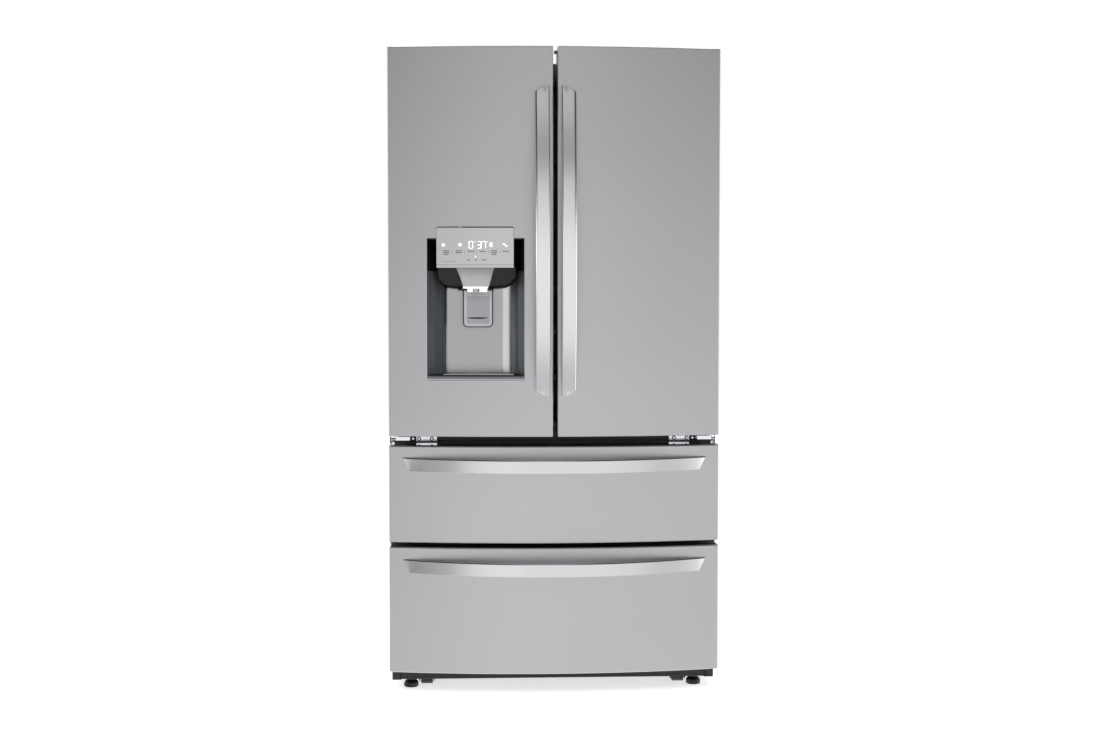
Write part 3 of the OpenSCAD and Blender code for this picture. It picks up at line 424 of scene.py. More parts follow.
def stepped(bm, low, high, levels, steps=4):
    """Level loops inside a rectangle, one for each (inset, height, corner)."""
    return [round_loop(bm, (low[0] + inset, low[1] + inset), (high[0] - inset, high[1] - inset), z, corner,
                       steps)
            for inset, z, corner in levels]


def joined(bm, rims, shut=(True, True)):
    """Walls from each level loop to the next; the first and the last are closed if wanted."""
    for one, other in zip(rims, rims[1:]):
        bmesh.ops.bridge_loops(bm, edges=one + other)
    for edges, close in zip((rims[0], rims[-1]), shut):
        if close:
            bmesh.ops.contextual_create(bm, geom=edges)


def raised(bm, points, dx, dy, dz):
    """A flat outline of (x, y, z) points, in millimetres, drawn out into a solid."""
    made = bmesh.ops.extrude_face_region(bm, geom=[bm.faces.new([bm.verts.new(mm(*p)) for p in points])])
    lift = [v for v in made["geom"] if isinstance(v, bmesh.types.BMVert)]
    bmesh.ops.translate(bm, verts=lift, vec=mm(dx, dy, dz))


def mirrored(bm, side):
    """Moves what was built for the right side to the left when side is -1."""
    for v in bm.verts:
        v.co.x *= side


def laid_back(bm):
    """Turns what was built lying flat so that its upper side faces the front."""
    bmesh.ops.rotate(bm, verts=bm.verts, cent=(0, 0, 0), matrix=Matrix.Rotation(math.pi / 2, 3, "X"))


liner_white = moulded("white_polystyrene_liner", "#e6e8ea", 0.24, grain_mm=2.5, depth_mm=0.03, vary=0.015)
sheet = 1.5
low, high = box_mm("fresh_food_liner")
bm = bmesh.new()
levels = [(sheet, -low[1], 14)]
levels += [(sheet + 14 * (1 - math.cos(t)), sheet + 14 * (1 - math.sin(t)) - high[1], 14)
           for t in (0, 0.4, 0.8, 1.2, math.pi / 2)]
joined(bm, stepped(bm, low[::2], high[::2], levels, 6), (False, True))
laid_back(bm)
make_piece("fresh_food_box", bm, liner_white, "cabinet", ["fresh_food_liner"], wall=sheet, outward=True)
bm = bmesh.new()
for top in (858, 986, 1106, 1286, 1466):
    for side in (-1, 1):
        x0, x1 = sorted((side * 398.6, side * 407.8))
        soft_block(bm, (x0, low[1] + 108, top - 6), (x1, high[1] - 15.2, top), 2.4, 3)
make_piece("shelf_ledges", bm, liner_white, "cabinet")

low, high = box_mm("freezer_liner")
bm = bmesh.new()
profile = [(low[1], low[2]), (165, low[2]), (165, 330), (235, 400), (high[1], 400), (high[1], high[2]),
           (low[1], high[2])]
raised(bm, [(low[0], y, z) for y, z in profile], high[0] - low[0], 0, 0)
bmesh.ops.recalc_face_normals(bm, faces=bm.faces)
mouth = [f for f in bm.faces if all(v.co.y * 1000 < low[1] + 0.1 for v in f.verts)]
bmesh.ops.delete(bm, geom=mouth, context="FACES_ONLY")
folds = [e for e in bm.edges if len(e.link_faces) == 2]
bevel(bm, folds, 14, 5, clamp=True)
make_piece("freezer_box", bm, liner_white, "cabinet", ["freezer_liner"], wall=sheet)

# ---- Front rails ---------------------------------------------------------------------------------
# Dark painted rails close the front of the cabinet between the compartments. The one under the
# doors has a pressed groove along its middle; the drawers' gaskets seal on its flat faces.

rail_paint = painted_steel("black_rail_enamel", "#2c2d30", 0.35)
low, high = box_mm("front_rails")
bm = bmesh.new()
face_y, rail_x, rail_z = case_low[1], 408.6, (665.3, 734.6)
for z0, z1, proud in ((rail_z[0], 681, 0.4), (682, 692.6, 2.4), (695.2, 707.5, 4.2),
                      (708.5, rail_z[1], 0.4)):
    soft_block(bm, (-rail_x, face_y - proud, z0), (rail_x, face_y + 2, z1), 0.35 if proud < 1 else 0.9, 2,
               lengthwise)
block(bm, (-rail_x, face_y + 0.6, rail_z[0]), (rail_x, face_y + 2, rail_z[1]))
soft_block(bm, (-407, face_y, low[2] + 0.2), (407, high[1], 444.8), 1.5, 3, lengthwise)
for side in (-1, 1):
    block(bm, (side * 407.2, face_y, low[2] + 0.2), (side * 408.8, face_y + 2, 444.8))
make_piece("rail_fronts", bm, rail_paint, "cabinet", ["front_rails"])

# ---- Base frame ----------------------------------------------------------------------------------
# A folded steel frame under the cabinet holds the feet and the rollers. A black kick bar closes its
# front between two corner brackets, each fixed by one screw.


def stainless(name, colour, roughness, along_mm=70, across_mm=0.8, axis="X", depth_mm=0.006):
    """Brushed ferritic stainless steel: a satin metal with fine scratches along one direction."""
    steel, tree, shader, where = new_surface(name, Metallic=1.0)
    long, fine = 1000 / along_mm, 1000 / across_mm
    scale = {"X": (long, fine, fine), "Z": (fine, fine, long)}[axis]
    stretch = add_node(tree, "ShaderNodeMapping", {"Scale": scale}, where)
    grain = add_node(tree, "ShaderNodeTexNoise", {"Scale": 1.0, "Detail": 3.0},
                     stretch.outputs[0]).outputs["Fac"]
    cloud = add_node(tree, "ShaderNodeTexNoise", {"Scale": 2.2, "Detail": 1.0}, where).outputs["Fac"]
    uneven(tree, shader, colour, (grain, 0.94, 1.06), (cloud, roughness - 0.04, roughness + 0.04),
           (grain, 0.3, depth_mm))
    return steel


def rod(bm, start, end, radius, segments=24, end_radius=None):
    """A round bar between two points, in millimetres."""
    start, end = mm(*start), mm(*end)
    along = end - start
    place = Matrix.Translation((start + end) / 2) @ along.to_track_quat("Z", "Y").to_matrix().to_4x4()
    return bmesh.ops.create_cone(bm, cap_ends=True, segments=segments, radius1=radius / 1000,
                                 radius2=(radius if end_radius is None else end_radius) / 1000,
                                 depth=along.length, matrix=place)["verts"]


frame_paint = painted_steel("black_frame_enamel", "#303134", 0.4)
zinc_screw = moulded("zinc_plated_screw", "#eceef1", 0.3, grain_mm=0.6, depth_mm=0.004, metallic=0.35)
eased("base_frame_sheet", "base_frame", frame_paint, 0.4, 1)


def screw(bm, at, way, radius=4.0, height=2.2):
    """A pan-head screw with a cross recess, its head standing from the point at along way."""
    at, way = Vector(at), Vector(way).normalized()
    rounded(bm, rod(bm, at, at + way * height, radius, 24, radius * 0.78), min(height, radius) * 0.3, 2)
    turn = way.to_track_quat("Z", "Y").to_matrix().to_4x4()
    for angle in (45, 135):
        place = Matrix.Translation((at + way * (height + 0.02)) / 1000) @ turn
        place @= Matrix.Rotation(math.radians(angle), 4, "Z")
        place @= Matrix.Diagonal((radius * 1.15 / 1000, radius * 0.2 / 1000, 0.0003, 1))
        bmesh.ops.create_cube(bm, size=1, matrix=place)


kick_bottom, kick_top = 28, 62.6
bm = bmesh.new()
soft_block(bm, (-424, face_y - 9.6, kick_bottom + 0.4), (424, face_y - 6.4, kick_top), 1.4, 3, lengthwise)
soft_block(bm, (-416, face_y - 10.6, 33), (416, face_y - 9, 35), 0.6, 2, lengthwise)
make_piece("kick_bar", bm, frame_paint, "cabinet")
bm = bmesh.new()
for side in (-1, 1):
    x0, x1 = sorted((side * 425.5, side * 448.6))
    soft_block(bm, (x0, face_y - 15.2, kick_bottom), (x1, face_y - 13.6, kick_top), 1.0, 2,
               lambda at, way: abs(way.y) > 0.5)
    for x in (x0, x1 - 1.6):
        block(bm, (x, face_y - 15.2, kick_bottom), (x + 1.6, face_y - 6, kick_top))
make_piece("corner_brackets", bm, frame_paint, "cabinet")
bm = bmesh.new()
for side in (-1, 1):
    screw(bm, (side * 440, face_y - 15.2, 55), (0, -1, 0), 5.2, 2.4)
make_piece("bracket_screws", bm, zinc_screw, "cabinet")

# ---- Levelling feet ------------------------------------------------------------------------------
# Black nylon feet, ribbed round the rim for turning by hand, with a hexagon for a spanner and a
# threaded steel stem.

# Turns what is built along Z so that it lies along another axis
axis_turn = {"X": Matrix.Rotation(math.pi / 2, 4, "Y"), "Y": Matrix.Rotation(-math.pi / 2, 4, "X"),
             "Z": Matrix()}


def turned(bm, profile, centre, axis="Z", steps=48):
    """A profile of (radius, height) points spun about an axis through a point, in millimetres."""
    lathe = bmesh.new()
    line = [lathe.verts.new(mm(r, 0, h)) for r, h in profile]
    edges = [lathe.edges.new(pair) for pair in zip(line, line[1:])]
    bmesh.ops.spin(lathe, geom=line + edges, cent=(0, 0, 0), axis=(0, 0, 1), dvec=(0, 0, 0), angle=math.tau,
                   steps=steps, use_merge=True)
    bmesh.ops.remove_doubles(lathe, verts=lathe.verts, dist=0.000005)
    turn = axis_turn[axis]
    bmesh.ops.transform(lathe, matrix=Matrix.Translation(mm(*centre)) @ turn, verts=lathe.verts)
    made = bpy.data.meshes.new("turned")
    lathe.to_mesh(made)
    lathe.free()
    bm.from_mesh(made)
    bpy.data.meshes.remove(made)


foot_nylon = moulded("black_ribbed_nylon", "#161719", 0.42)
for name in ("left_foot", "right_foot"):
    low, high = box_mm(name)
    cx, cy = (low[0] + high[0]) / 2, (low[1] + high[1]) / 2
    bm = bmesh.new()
    turned(bm, [(0, 0), (17.5, 0), (19.6, 1.2), (20.4, 3.2), (20.4, 9.5), (19.4, 13.6), (16.5, 17.4),
                (11, 19.4), (0, 19.4)], (cx, cy, 0))
    for v in bm.verts:
        away = v.co - mm(cx, cy, v.co.z * 1000)
        if 0.0190 < away.length < 0.0215 and 0.002 < v.co.z < 0.012:
            if round(math.atan2(away.y, away.x) / math.tau * 48) % 2:
                v.co -= away.normalized() * 0.0012
    rounded(bm, rod(bm, (cx, cy, 19), (cx, cy, 27), 11, 6), 0.8, 2)
    make_piece(name + "_body", bm, foot_nylon, name, [name])
    bm = bmesh.new()
    for turn in range(22):
        z = 25 + turn * 1.6
        rod(bm, (cx, cy, z), (cx, cy, z + 0.8), 4.2, 24, 4.95)
        rod(bm, (cx, cy, z + 0.8), (cx, cy, z + 1.6), 4.95, 24, 4.2)
    make_piece(name + "_thread", bm, zinc_screw, name)

# ---- Rollers -------------------------------------------------------------------------------------
# Hard black rollers on steel axles. The front pair hangs just clear of the floor once the feet are
# screwed down, and the rear pair carries the back of the cabinet.

roller_nylon = moulded("black_roller_nylon", "#1d1e20", 0.38)
for name in ("front_rollers", "rear_rollers"):
    low, high = box_mm(name)
    r = (high[2] - low[2]) / 2
    cy, cz = (low[1] + high[1]) / 2, (low[2] + high[2]) / 2
    bm = bmesh.new()
    for side in (-1, 1):
        x0, x1 = sorted((side * high[0], side * (high[0] - 33)))
        rim = [(4.2, x0), (7.5, x0), (8.5, x0 + 1.6), (r - 5, x0 + 1.6), (r - 4, x0), (r - 1.6, x0),
               (r - 0.05, x0 + 1.6), (r - 0.05, x1 - 1.6), (r - 1.6, x1), (r - 4, x1), (r - 5, x1 - 1.6),
               (8.5, x1 - 1.6), (7.5, x1), (4.2, x1)]
        turned(bm, [*rim, rim[0]], (0, cy, cz), "X")
    make_piece(name[:-1] + "_tyres", bm, roller_nylon, name, [name])

# ---- Door hinges ---------------------------------------------------------------------------------
# Zinc-plated pressed steel. The lower hinges are screwed to the rail and reach forward to a pin on
# which each door stands; the upper ones are plates on the cabinet's top under plastic covers.

hinge_zinc = moulded("bright_zinc_plated_hinge_steel", "#edf0f4", 0.15, grain_mm=3, depth_mm=0.0008,
                     metallic=1.0, vary=0.03)
pin_x, pin_y = 434, -312
plate_x, arm_x, cap_x = (323, 380.5), (395.4, 436), (408.4, 449.6)
screw_z, plate_screws, arm_screw = 700.6, (337.2, 372.8), 389.2
for side, name in ((1, "right"), (-1, "left")):
    bm = bmesh.new()
    # Lower hinge: two plates on the rail, the arm reaching forward, and the stops at its outer end
    lean = Matrix.Rotation(math.radians(-7), 3, "X")
    plate = block(bm, (plate_x[0], face_y - 4.4, 681), (plate_x[1], face_y - 0.9, 688.8))
    bmesh.ops.rotate(bm, verts=plate, cent=mm(350, face_y, 681), matrix=lean)
    rounded(bm, plate, 0.9, 2)
    soft_block(bm, (plate_x[0], face_y - 5.4, 692.4), (plate_x[1], face_y - 1.0, 711.6), 1.2, 3)
    soft_block(bm, (arm_x[0], face_y - 3.6, 698), (arm_x[1], face_y - 0.4, 711.8), 1.0, 2)
    soft_block(bm, (439, face_y - 7, 702.4), (451.5, face_y - 0.4, 711.8), 1.0, 2)
    soft_block(bm, (439, face_y - 6, 695), (451, face_y - 0.4, 699.6), 1.0, 2)
    stop = rod(bm, (444.8, face_y - 0.9, 687), (444.8, face_y - 7.6, 687), 5.4, 32)
    bmesh.ops.rotate(bm, verts=stop, cent=mm(444.8, face_y, 681), matrix=lean)
    rounded(bm, stop, 0.8, 2)
    arm = block(bm, (arm_x[0], pin_y - 10, 699), (arm_x[1], face_y - 1, 710.5))
    arm = rounded(bm, arm, 3.0, 4, lambda at, way: abs(way.z) > 3 and at.y < pin_y)
    rounded(bm, arm, 1.0, 2)
    rounded(bm, rod(bm, (pin_x, pin_y, 706), (pin_x, pin_y, 716.2), 9.9, 32), 1.0, 2)
    rod(bm, (pin_x, pin_y, 706), (pin_x, pin_y, 732), 5.9, 32)
    # Upper hinge: a stepped plate with its pin
    soft_block(bm, (cap_x[0], face_y + 1.2, 1736.1), (cap_x[1], face_y + 99.5, 1738.9), 4.0, 4,
               lambda at, way: abs(way.z) > 3 and at.y > face_y + 90)
    block(bm, (cap_x[0], face_y + 1.2, 1738), (cap_x[1], face_y + 3.8, 1771.4))
    soft_block(bm, (cap_x[0], pin_y - 7.8, 1768.9), (cap_x[1], face_y + 3.8, 1771.7), 6.0, 4,
               lambda at, way: abs(way.z) > 2 and at.y < pin_y)
    rod(bm, (pin_x, pin_y, 1752.5), (pin_x, pin_y, 1770), 5.9, 32)
    mirrored(bm, side)
    make_piece(f"{name}_hinges", bm, hinge_zinc, "cabinet", ["door_hinges"] if side == 1 else ())
    bm = bmesh.new()
    for x, y in (*((x, -6.2) for x in plate_screws), (arm_screw, -4.4)):
        head = rod(bm, (side * x, face_y + y, screw_z), (side * x, face_y + y - 2.2, screw_z), 3.3, 32)
        rounded(bm, head, 0.6, 2)
    for y in (30, 55, 80):
        screw(bm, (side * 429, face_y + y, 1738.9), (0, 0, 1), 4.6, 2.6)
    make_piece(f"{name}_hinge_screws", bm, hinge_zinc, "cabinet")
    bm = bmesh.new()
    rod(bm, (side * arm_screw, face_y - 0.4, screw_z), (side * arm_screw, face_y - 4.4, screw_z), 7.2, 40)
    for x in plate_screws:
        collar = rod(bm, (side * x, face_y - 4.9, screw_z), (side * x, face_y - 6.3, screw_z), 5.6, 40)
        rounded(bm, collar, 0.5, 2)
        soft_block(bm, (side * x - 3.2, face_y - 4.7, 680.6), (side * x + 3.2, face_y - 4.2, 684.4), 0.2, 1)
    make_piece(f"{name}_hinge_washers", bm, foot_nylon, "cabinet")
cover_abs = moulded("black_hinge_cover_abs", "#2a2b2d", 0.36)
eased("hinge_cover_shells", "hinge_covers", cover_abs, 1.6, 3)

# ---- Compressor ----------------------------------------------------------------------------------
# A hermetic compressor: two deep-drawn steel shells welded along one seam and enamelled black, on a
# foot plate with four rubber grommets. Copper tubes are brazed in; a cover shuts over the terminals.


def pipe(bm, points, radius, bend=12, sides=6):
    """A tube bent through some points, in millimetres."""
    points = [Vector(p) for p in points]
    route = [points[0]]
    for before, at, after in zip(points, points[1:], points[2:]):
        start, end = at + (before - at).normalized() * bend, at + (after - at).normalized() * bend
        route += [start.lerp(at, t).lerp(at.lerp(end, t), t) for t in (0, 0.2, 0.4, 0.6, 0.8, 1)]
    route.append(points[-1])
    curve = bpy.data.curves.new("pipe_route", "CURVE")
    curve.dimensions = "3D"
    curve.bevel_depth = radius / 1000
    curve.bevel_resolution = sides - 2
    curve.use_fill_caps = True
    spline = curve.splines.new("POLY")
    spline.points.add(len(route) - 1)
    for point, at in zip(spline.points, route):
        point.co = (*(at / 1000), 1)
    holder = bpy.data.objects.new("pipe_route", curve)
    bm.from_mesh(bpy.data.meshes.new_from_object(holder))
    bpy.data.objects.remove(holder)


shell_enamel = painted_steel("black_shell_enamel", "#17181a", 0.3, grain_mm=0.9, depth_mm=0.02)
black_rubber = moulded("black_nitrile_rubber", "#141415", 0.7, grain_mm=0.8, depth_mm=0.04)
copper = stainless("drawn_copper_tube", "#c9825c", 0.3, along_mm=20, across_mm=0.6)
low, high = box_mm("compressor")
cx, cy = 230, (low[1] + high[1]) / 2
bm = bmesh.new()
dome = [(84 * math.cos(math.radians(a)), 160 + 50 * math.sin(math.radians(a))) for a in range(10, 90, 10)]
turned(bm, [(0, 60), (62, 60), (74, 63), (81.5, 70), (84, 80), (84, 116), (86.4, 117), (86.8, 119),
            (86.4, 121), (84, 122), (84, 160), *dome, (0, 210)], (cx, cy, 0))
plate = block(bm, (low[0], low[1], 55), (cx + 105, high[1], 58.4))
rounded(bm, rounded(bm, plate, 14, 5, lambda at, way: abs(way.z) > 2), 0.8, 2)
for side in (-1, 1):
    soft_block(bm, (cx - 96, cy + side * 62 - 2, 57), (cx + 96, cy + side * 62 + 2, 62), 1, 2)
make_piece("compressor_shell", bm, shell_enamel, "cabinet", ["compressor"])
bm = bmesh.new()
for x in (-92, 92):
    for y in (-56, 56):
        turned(bm, [(5, 47.4), (12, 47.4), (12.6, 49), (12, 50.6), (9.5, 51.5), (9.5, 53), (12, 54),
                    (12, 55), (5, 55)],
               (cx + x, cy + y, 0), steps=24)
soft_block(bm, (cx + 80, cy - 24, 98), (cx + 99.6, cy + 24, 142), 4, 4)
make_piece("compressor_grommets", bm, black_rubber, "cabinet")
bm = bmesh.new()
pipe(bm, [(cx - 80, cy - 20, 120), (118, cy - 20, 120), (118, cy - 20, 344)], 4.8, 16)
pipe(bm, [(cx - 80, cy + 24, 150), (116, cy + 24, 150), (116, 444, 150), (116, 444, 56), (-88, 444, 56),
          (-88, cy, 56), (-88, cy, 75), (-116, cy, 75)], 3.4, 10)
make_piece("refrigerant_pipes", bm, copper, "cabinet")

# ---- Condenser and its fan -----------------------------------------------------------------------
# Enamelled steel tube bent to and fro through thin fins. A five-bladed plastic fan blows across it
# from the end of a small motor held by a bracket on the frame.

coil_enamel = painted_steel("black_coil_enamel", "#202225", 0.35)
low, high = box_mm("condenser")
bm = bmesh.new()
for n in range(53):
    x = low[0] + 12 + n * 4.5
    block(bm, (x, low[1], 52.2), (x + 0.35, high[1], high[2] - 0.2))
for x in (low[0], high[0] - 4):
    soft_block(bm, (x + 0.1, low[1] + 20, low[2] + 0.1), (x + 3.8, high[1] - 20, high[2]), 1.4, 2)
heights = [75 + n * 35 for n in range(4)]
for y in (-48, 0, 48):
    route = []
    for n, z in enumerate(heights):
        ends = (low[0] - 12, high[0] + 12) if n % 2 else (high[0] + 12, low[0] - 12)
        route += [(ends[0], cy + y, z), (ends[1], cy + y, z)]
    pipe(bm, route, 3.2, 11)
make_piece("condenser_coil", bm, coil_enamel, "cabinet", ["condenser"])

fan_plastic = moulded("grey_polypropylene_fan", "#34363a", 0.4)


def bladed_fan(name, node, centre, axis, radius, hub, height):
    """A hub with five twisted blades round its shaft."""
    bm = bmesh.new()
    turn = axis_turn[axis]
    for n in range(5):
        blade = bmesh.ops.create_grid(bm, x_segments=8, y_segments=6, size=1)["verts"]
        for v in blade:
            out, across = (v.co.x + 1) / 2, v.co.y
            away = hub - 2 + out * (radius - 0.8 - hub + 2)
            if out > 0.9:
                away -= 0.04 * radius * across ** 2
            angle = n * math.tau / 5 + across * (0.34 + 0.16 * out) + 0.12 * out
            rise = 1.2 * (1 - across ** 2) - across * height * (0.46 - 0.14 * out)
            v.co = mm(away * math.cos(angle), away * math.sin(angle), rise)
        bmesh.ops.solidify(bm, geom=list({f for v in blade for f in v.link_faces}), thickness=0.0013)
    top = height / 2
    boss = [(3, top), (hub - 3, top), (hub - 0.8, top - 0.8), (hub, top - 3), (hub, -top), (hub - 2, -top),
            (hub - 2, 0), (3, 0)]
    bmesh.ops.transform(bm, matrix=Matrix.Translation(mm(*centre)) @ turn, verts=bm.verts)
    turned(bm, boss, centre, axis, 40)
    make_piece(name, bm, fan_plastic, frame["nodes"][node]["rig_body"], [node], angle=50)
    bm = bmesh.new()
    along = Vector((1, 0, 0)) if axis == "X" else Vector((0, 1, 0))
    rod(bm, Vector(centre) - along * (top - 1), Vector(centre) + along * (29.5 if axis == "X" else 23.5),
        2.9, 24)
    make_piece(name + "_shaft", bm, zinc_screw, frame["nodes"][node]["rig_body"])


bladed_fan("condenser_fan_rotor", "condenser_fan", (-40, 340, 130), "X", 66, 18, 16)

# ---- Machine cover, water valve and cord gland ---------------------------------------------------
# A louvred sheet closes the machine compartment at the back. The water valve's threaded inlet and
# the rubber gland for the cord come through it.

low, high = box_mm("machine_cover")
eased("louvred_back_cover", "machine_cover", back_zinc, 0.3, 1)
bm = bmesh.new()
for row in range(4):
    for n in range(9):
        x = (n - 4) * (half_width - 86) / 4 - 30
        z = 90 + row * 34
        hood = block(bm, (x - 1, low[1] - 3.2, z + 1), (x + 61, low[1] - 2.2, z + 12))
        bmesh.ops.rotate(bm, verts=hood, cent=mm(x, low[1], z + 10),
                         matrix=Matrix.Rotation(math.radians(-24), 3, "X"))
        rounded(bm, hood, 0.3, 1)
make_piece("louvre_hoods", bm, back_zinc, "cabinet")
bm = bmesh.new()
for x in spread(-437, 437, 7):
    for z in (low[2] + 14, high[2] - 12):
        screw(bm, (x, high[1] - 0.9, z), (0, 1, 0), 4.2, 0.8)
make_piece("back_cover_screws", bm, zinc_screw, "cabinet")

valve_nylon = moulded("white_nylon_valve_body", "#dfe1e2", 0.4)
low, high = box_mm("water_valve")
cx = (low[0] + high[0]) / 2
bm = bmesh.new()
soft_block(bm, (cx - 21.6, low[1] + 18, 286), (cx + 21.6, low[1] + 37.8, 314), 4, 4)
thread = [(5.55 if k % 2 else 4.9, 40 - k * 0.75) for k in range(1, 15)]
turned(bm, [(3.4, 20.5), (3.4, 40.6), (5.55, 40.6), *thread, (5.55, 29), (11.6, 28.6), (12, 28), (12, 22.5),
            (11, 21.5), (3.4, 21.5)], (cx, 419.8, 300), "Y", 40)
back_limit = 0.4604
for v in bm.verts:
    v.co.y = min(v.co.y, back_limit)
make_piece("water_valve_body", bm, valve_nylon, "cabinet", ["water_valve"])
bm = bmesh.new()
turned(bm, [(0, -15.5), (17, -15.5), (18, -14.5), (18, 14.5), (17, 15.5), (0, 15.5)], (cx, 410, 300), "Y",
       40)
for half, y0, y1, z0, z1 in ((20, 404, 418, 283.8, 285.4), (20, 404, 418, 314.6, 316.2),
                             (9.8, low[1] + 10, low[1] + 30, 315, 344.9)):
    soft_block(bm, (cx - half, y0, z0), (cx + half, y1, z1), 0.7, 2)
make_piece("water_valve_coil", bm, galvanised("zinc_solenoid_bracket", "#b9bcc0", 0.35, 4.0), "cabinet")
low, high = box_mm("power_inlet")
bm = bmesh.new()
turned(bm, [(4, 0.2), (8.4, 0.2), (8.9, 0.8), (8.9, 3.4), (11.6, 3.8), (12, 4.6), (12, 7.2), (11.6, 8),
            (9, 8.1), (8, 9.6), (6.4, 9.9), (4, 9.9), (4, 0.2)], ((low[0] + high[0]) / 2, low[1], 300), "Y",
       40)
make_piece("cord_gland", bm, black_rubber, "cabinet", ["power_inlet"])

# ---- Evaporator, its cover and fan ---------------------------------------------------------------
# Aluminium tube bent to and fro through aluminium fins at the back of the freezer. A white panel in
# front of it carries the fan behind a round grille.

fin_aluminium = stainless("mill_finish_aluminium", "#d0d3d6", 0.32, along_mm=40, across_mm=0.7)
low, high = box_mm("evaporator")
coil_y = 357.5
bm = bmesh.new()
for n in range(93):
    x = -285.5 + n * 6.2
    block(bm, (x, coil_y - 21.8, low[2] + 0.2), (x + 0.25, coil_y + 21.8, high[2] - 0.2))
for x in (-286, 286):
    soft_block(bm, (x - 1, coil_y - 22, low[2]), (x + 0.6, high[1] - 0.2, high[2]), 0.5, 1)
for y in (-11, 11):
    route = []
    for n in range(3):
        ends = (-299.5, 299.5) if n % 2 else (299.5, -299.5)
        route += [(ends[0], coil_y + y, low[2] + 25 + n * 40), (ends[1], coil_y + y, low[2] + 25 + n * 40)]
    pipe(bm, route, 4, 12)
make_piece("evaporator_coil", bm, fin_aluminium, "cabinet", ["evaporator"])

panel_white = moulded("white_freezer_panel", "#e2e4e6", 0.32, grain_mm=1.6)
eased("evaporator_panel", "evaporator_cover", panel_white, 0.9, 2)
low, high = box_mm("evaporator_cover")
fan_z = 608
bm = bmesh.new()
for radius in (14, 22, 30, 38):
    turned(bm, [(radius - 1, -3.2), (radius + 1, -3.2), (radius + 1.2, -1.8), (radius - 1.2, -1.8),
                (radius - 1, -3.2)],
           (0, low[1] + 2, fan_z), "Y", 40)
for n in range(6):
    spoke = block(bm, (5, low[1] - 1, fan_z - 1), (40.5, low[1] + 0.6, fan_z + 1))
    bmesh.ops.rotate(bm, verts=spoke, cent=mm(0, 0, fan_z),
                     matrix=Matrix.Rotation(n * math.tau / 6, 3, "Y"))
rounded(bm, rod(bm, (0, low[1] - 1.6, fan_z), (0, low[1] + 0.8, fan_z), 7, 32), 0.7, 2)
for n in range(9):
    for side in (-1, 1):
        x = side * (330 - n * 24)
        soft_block(bm, (x - 3, low[1] - 0.9, 425), (x + 3, low[1] + 0.5, 520), 0.7, 2)
make_piece("evaporator_grille", bm, panel_white, "cabinet")
bladed_fan("evaporator_fan_rotor", "evaporator_fan", (0, 335.5, fan_z), "Y", 36, 11, 10)

# ---- Air duct and lamps --------------------------------------------------------------------------
# A white cover down the back of the fresh food box spreads cold air through slots. Diodes behind a
# frosted strip at each side light the shelves.

eased("air_duct_cover", "air_duct", liner_white, 2.2, 3)
frosted_lens = moulded("frosted_diode_lens", "#f5f6f4", 0.5, grain_mm=0.7)
low, high = box_mm("air_duct")
bm = bmesh.new()
for side in (-1, 1):
    soft_block(bm, (side * 98 - 5, low[1] - 2.4, low[2] + 24), (side * 98 + 5, low[1] + 1, high[2] - 24),
               1.8, 3)
make_piece("diode_lenses", bm, frosted_lens, "cabinet")

# ---- Glass shelves -------------------------------------------------------------------------------
# Tempered glass panes sit in white moulded frames, whose ends rest on the liner's ledges. A rounded
# trim closes each front edge.


def see_through(name, colour, roughness, ior, grain_mm=6.0, depth_mm=0.01):
    """Glass or clear polystyrene: light passes with a slight tint, and faint flow marks show."""
    clear, tree, shader, where = new_surface(name, Transmission_Weight=0.9, IOR=ior)
    flow = add_node(tree, "ShaderNodeTexNoise", {"Scale": 1000 / grain_mm, "Detail": 1.0},
                    where).outputs["Fac"]
    uneven(tree, shader, colour, (flow, 0.97, 1.0), (flow, roughness, roughness + 0.04),
           (flow, 0.2, depth_mm))
    return clear


shelf_glass = see_through("tempered_soda_glass", "#e4f3ee", 0.0, 1.52, grain_mm=40)
eased("shelf_panes", "glass_shelves", shelf_glass, 0.8, 2)
frame_white = moulded("white_abs_shelf_frame", "#dee0e2", 0.3)
eased("shelf_frame_mouldings", "shelf_frames", frame_white, 0.8, 2, 40)

# ---- Crispers and pantry drawer ------------------------------------------------------------------
# Clear polystyrene trays moulded in one piece: two crispers side by side under the lowest shelf, and
# a pantry drawer across the full width below them. Each has a rounded lip to pull it by.


def tray(bm, low, high, corner=14, wall=2.4, foot=7, lip=3, draft=3):
    """A moulded tray open at the top: a rounded foot, walls that widen upwards and a turned lip."""
    bend = [(1 - math.sin(t), 1 - math.cos(t)) for t in (0, 0.4, 0.8, 1.2, math.pi / 2)]
    inside, top = lip + wall, high[2]
    levels = [(lip + draft + foot * u, low[2] + foot * v, corner) for u, v in bend]
    rim = ((lip, 5), (0.6, 4.4), (0, 3.6), (0, 0.9), (0.8, 0), (inside - 0.7, 0))
    levels += [*((inset, top - down, corner) for inset, down in rim), (inside, top - 0.8, corner - 2)]
    levels += [(inside + draft + foot * u, low[2] + wall + foot * v, corner - 3) for u, v in reversed(bend)]
    joined(bm, stepped(bm, low, high, levels))


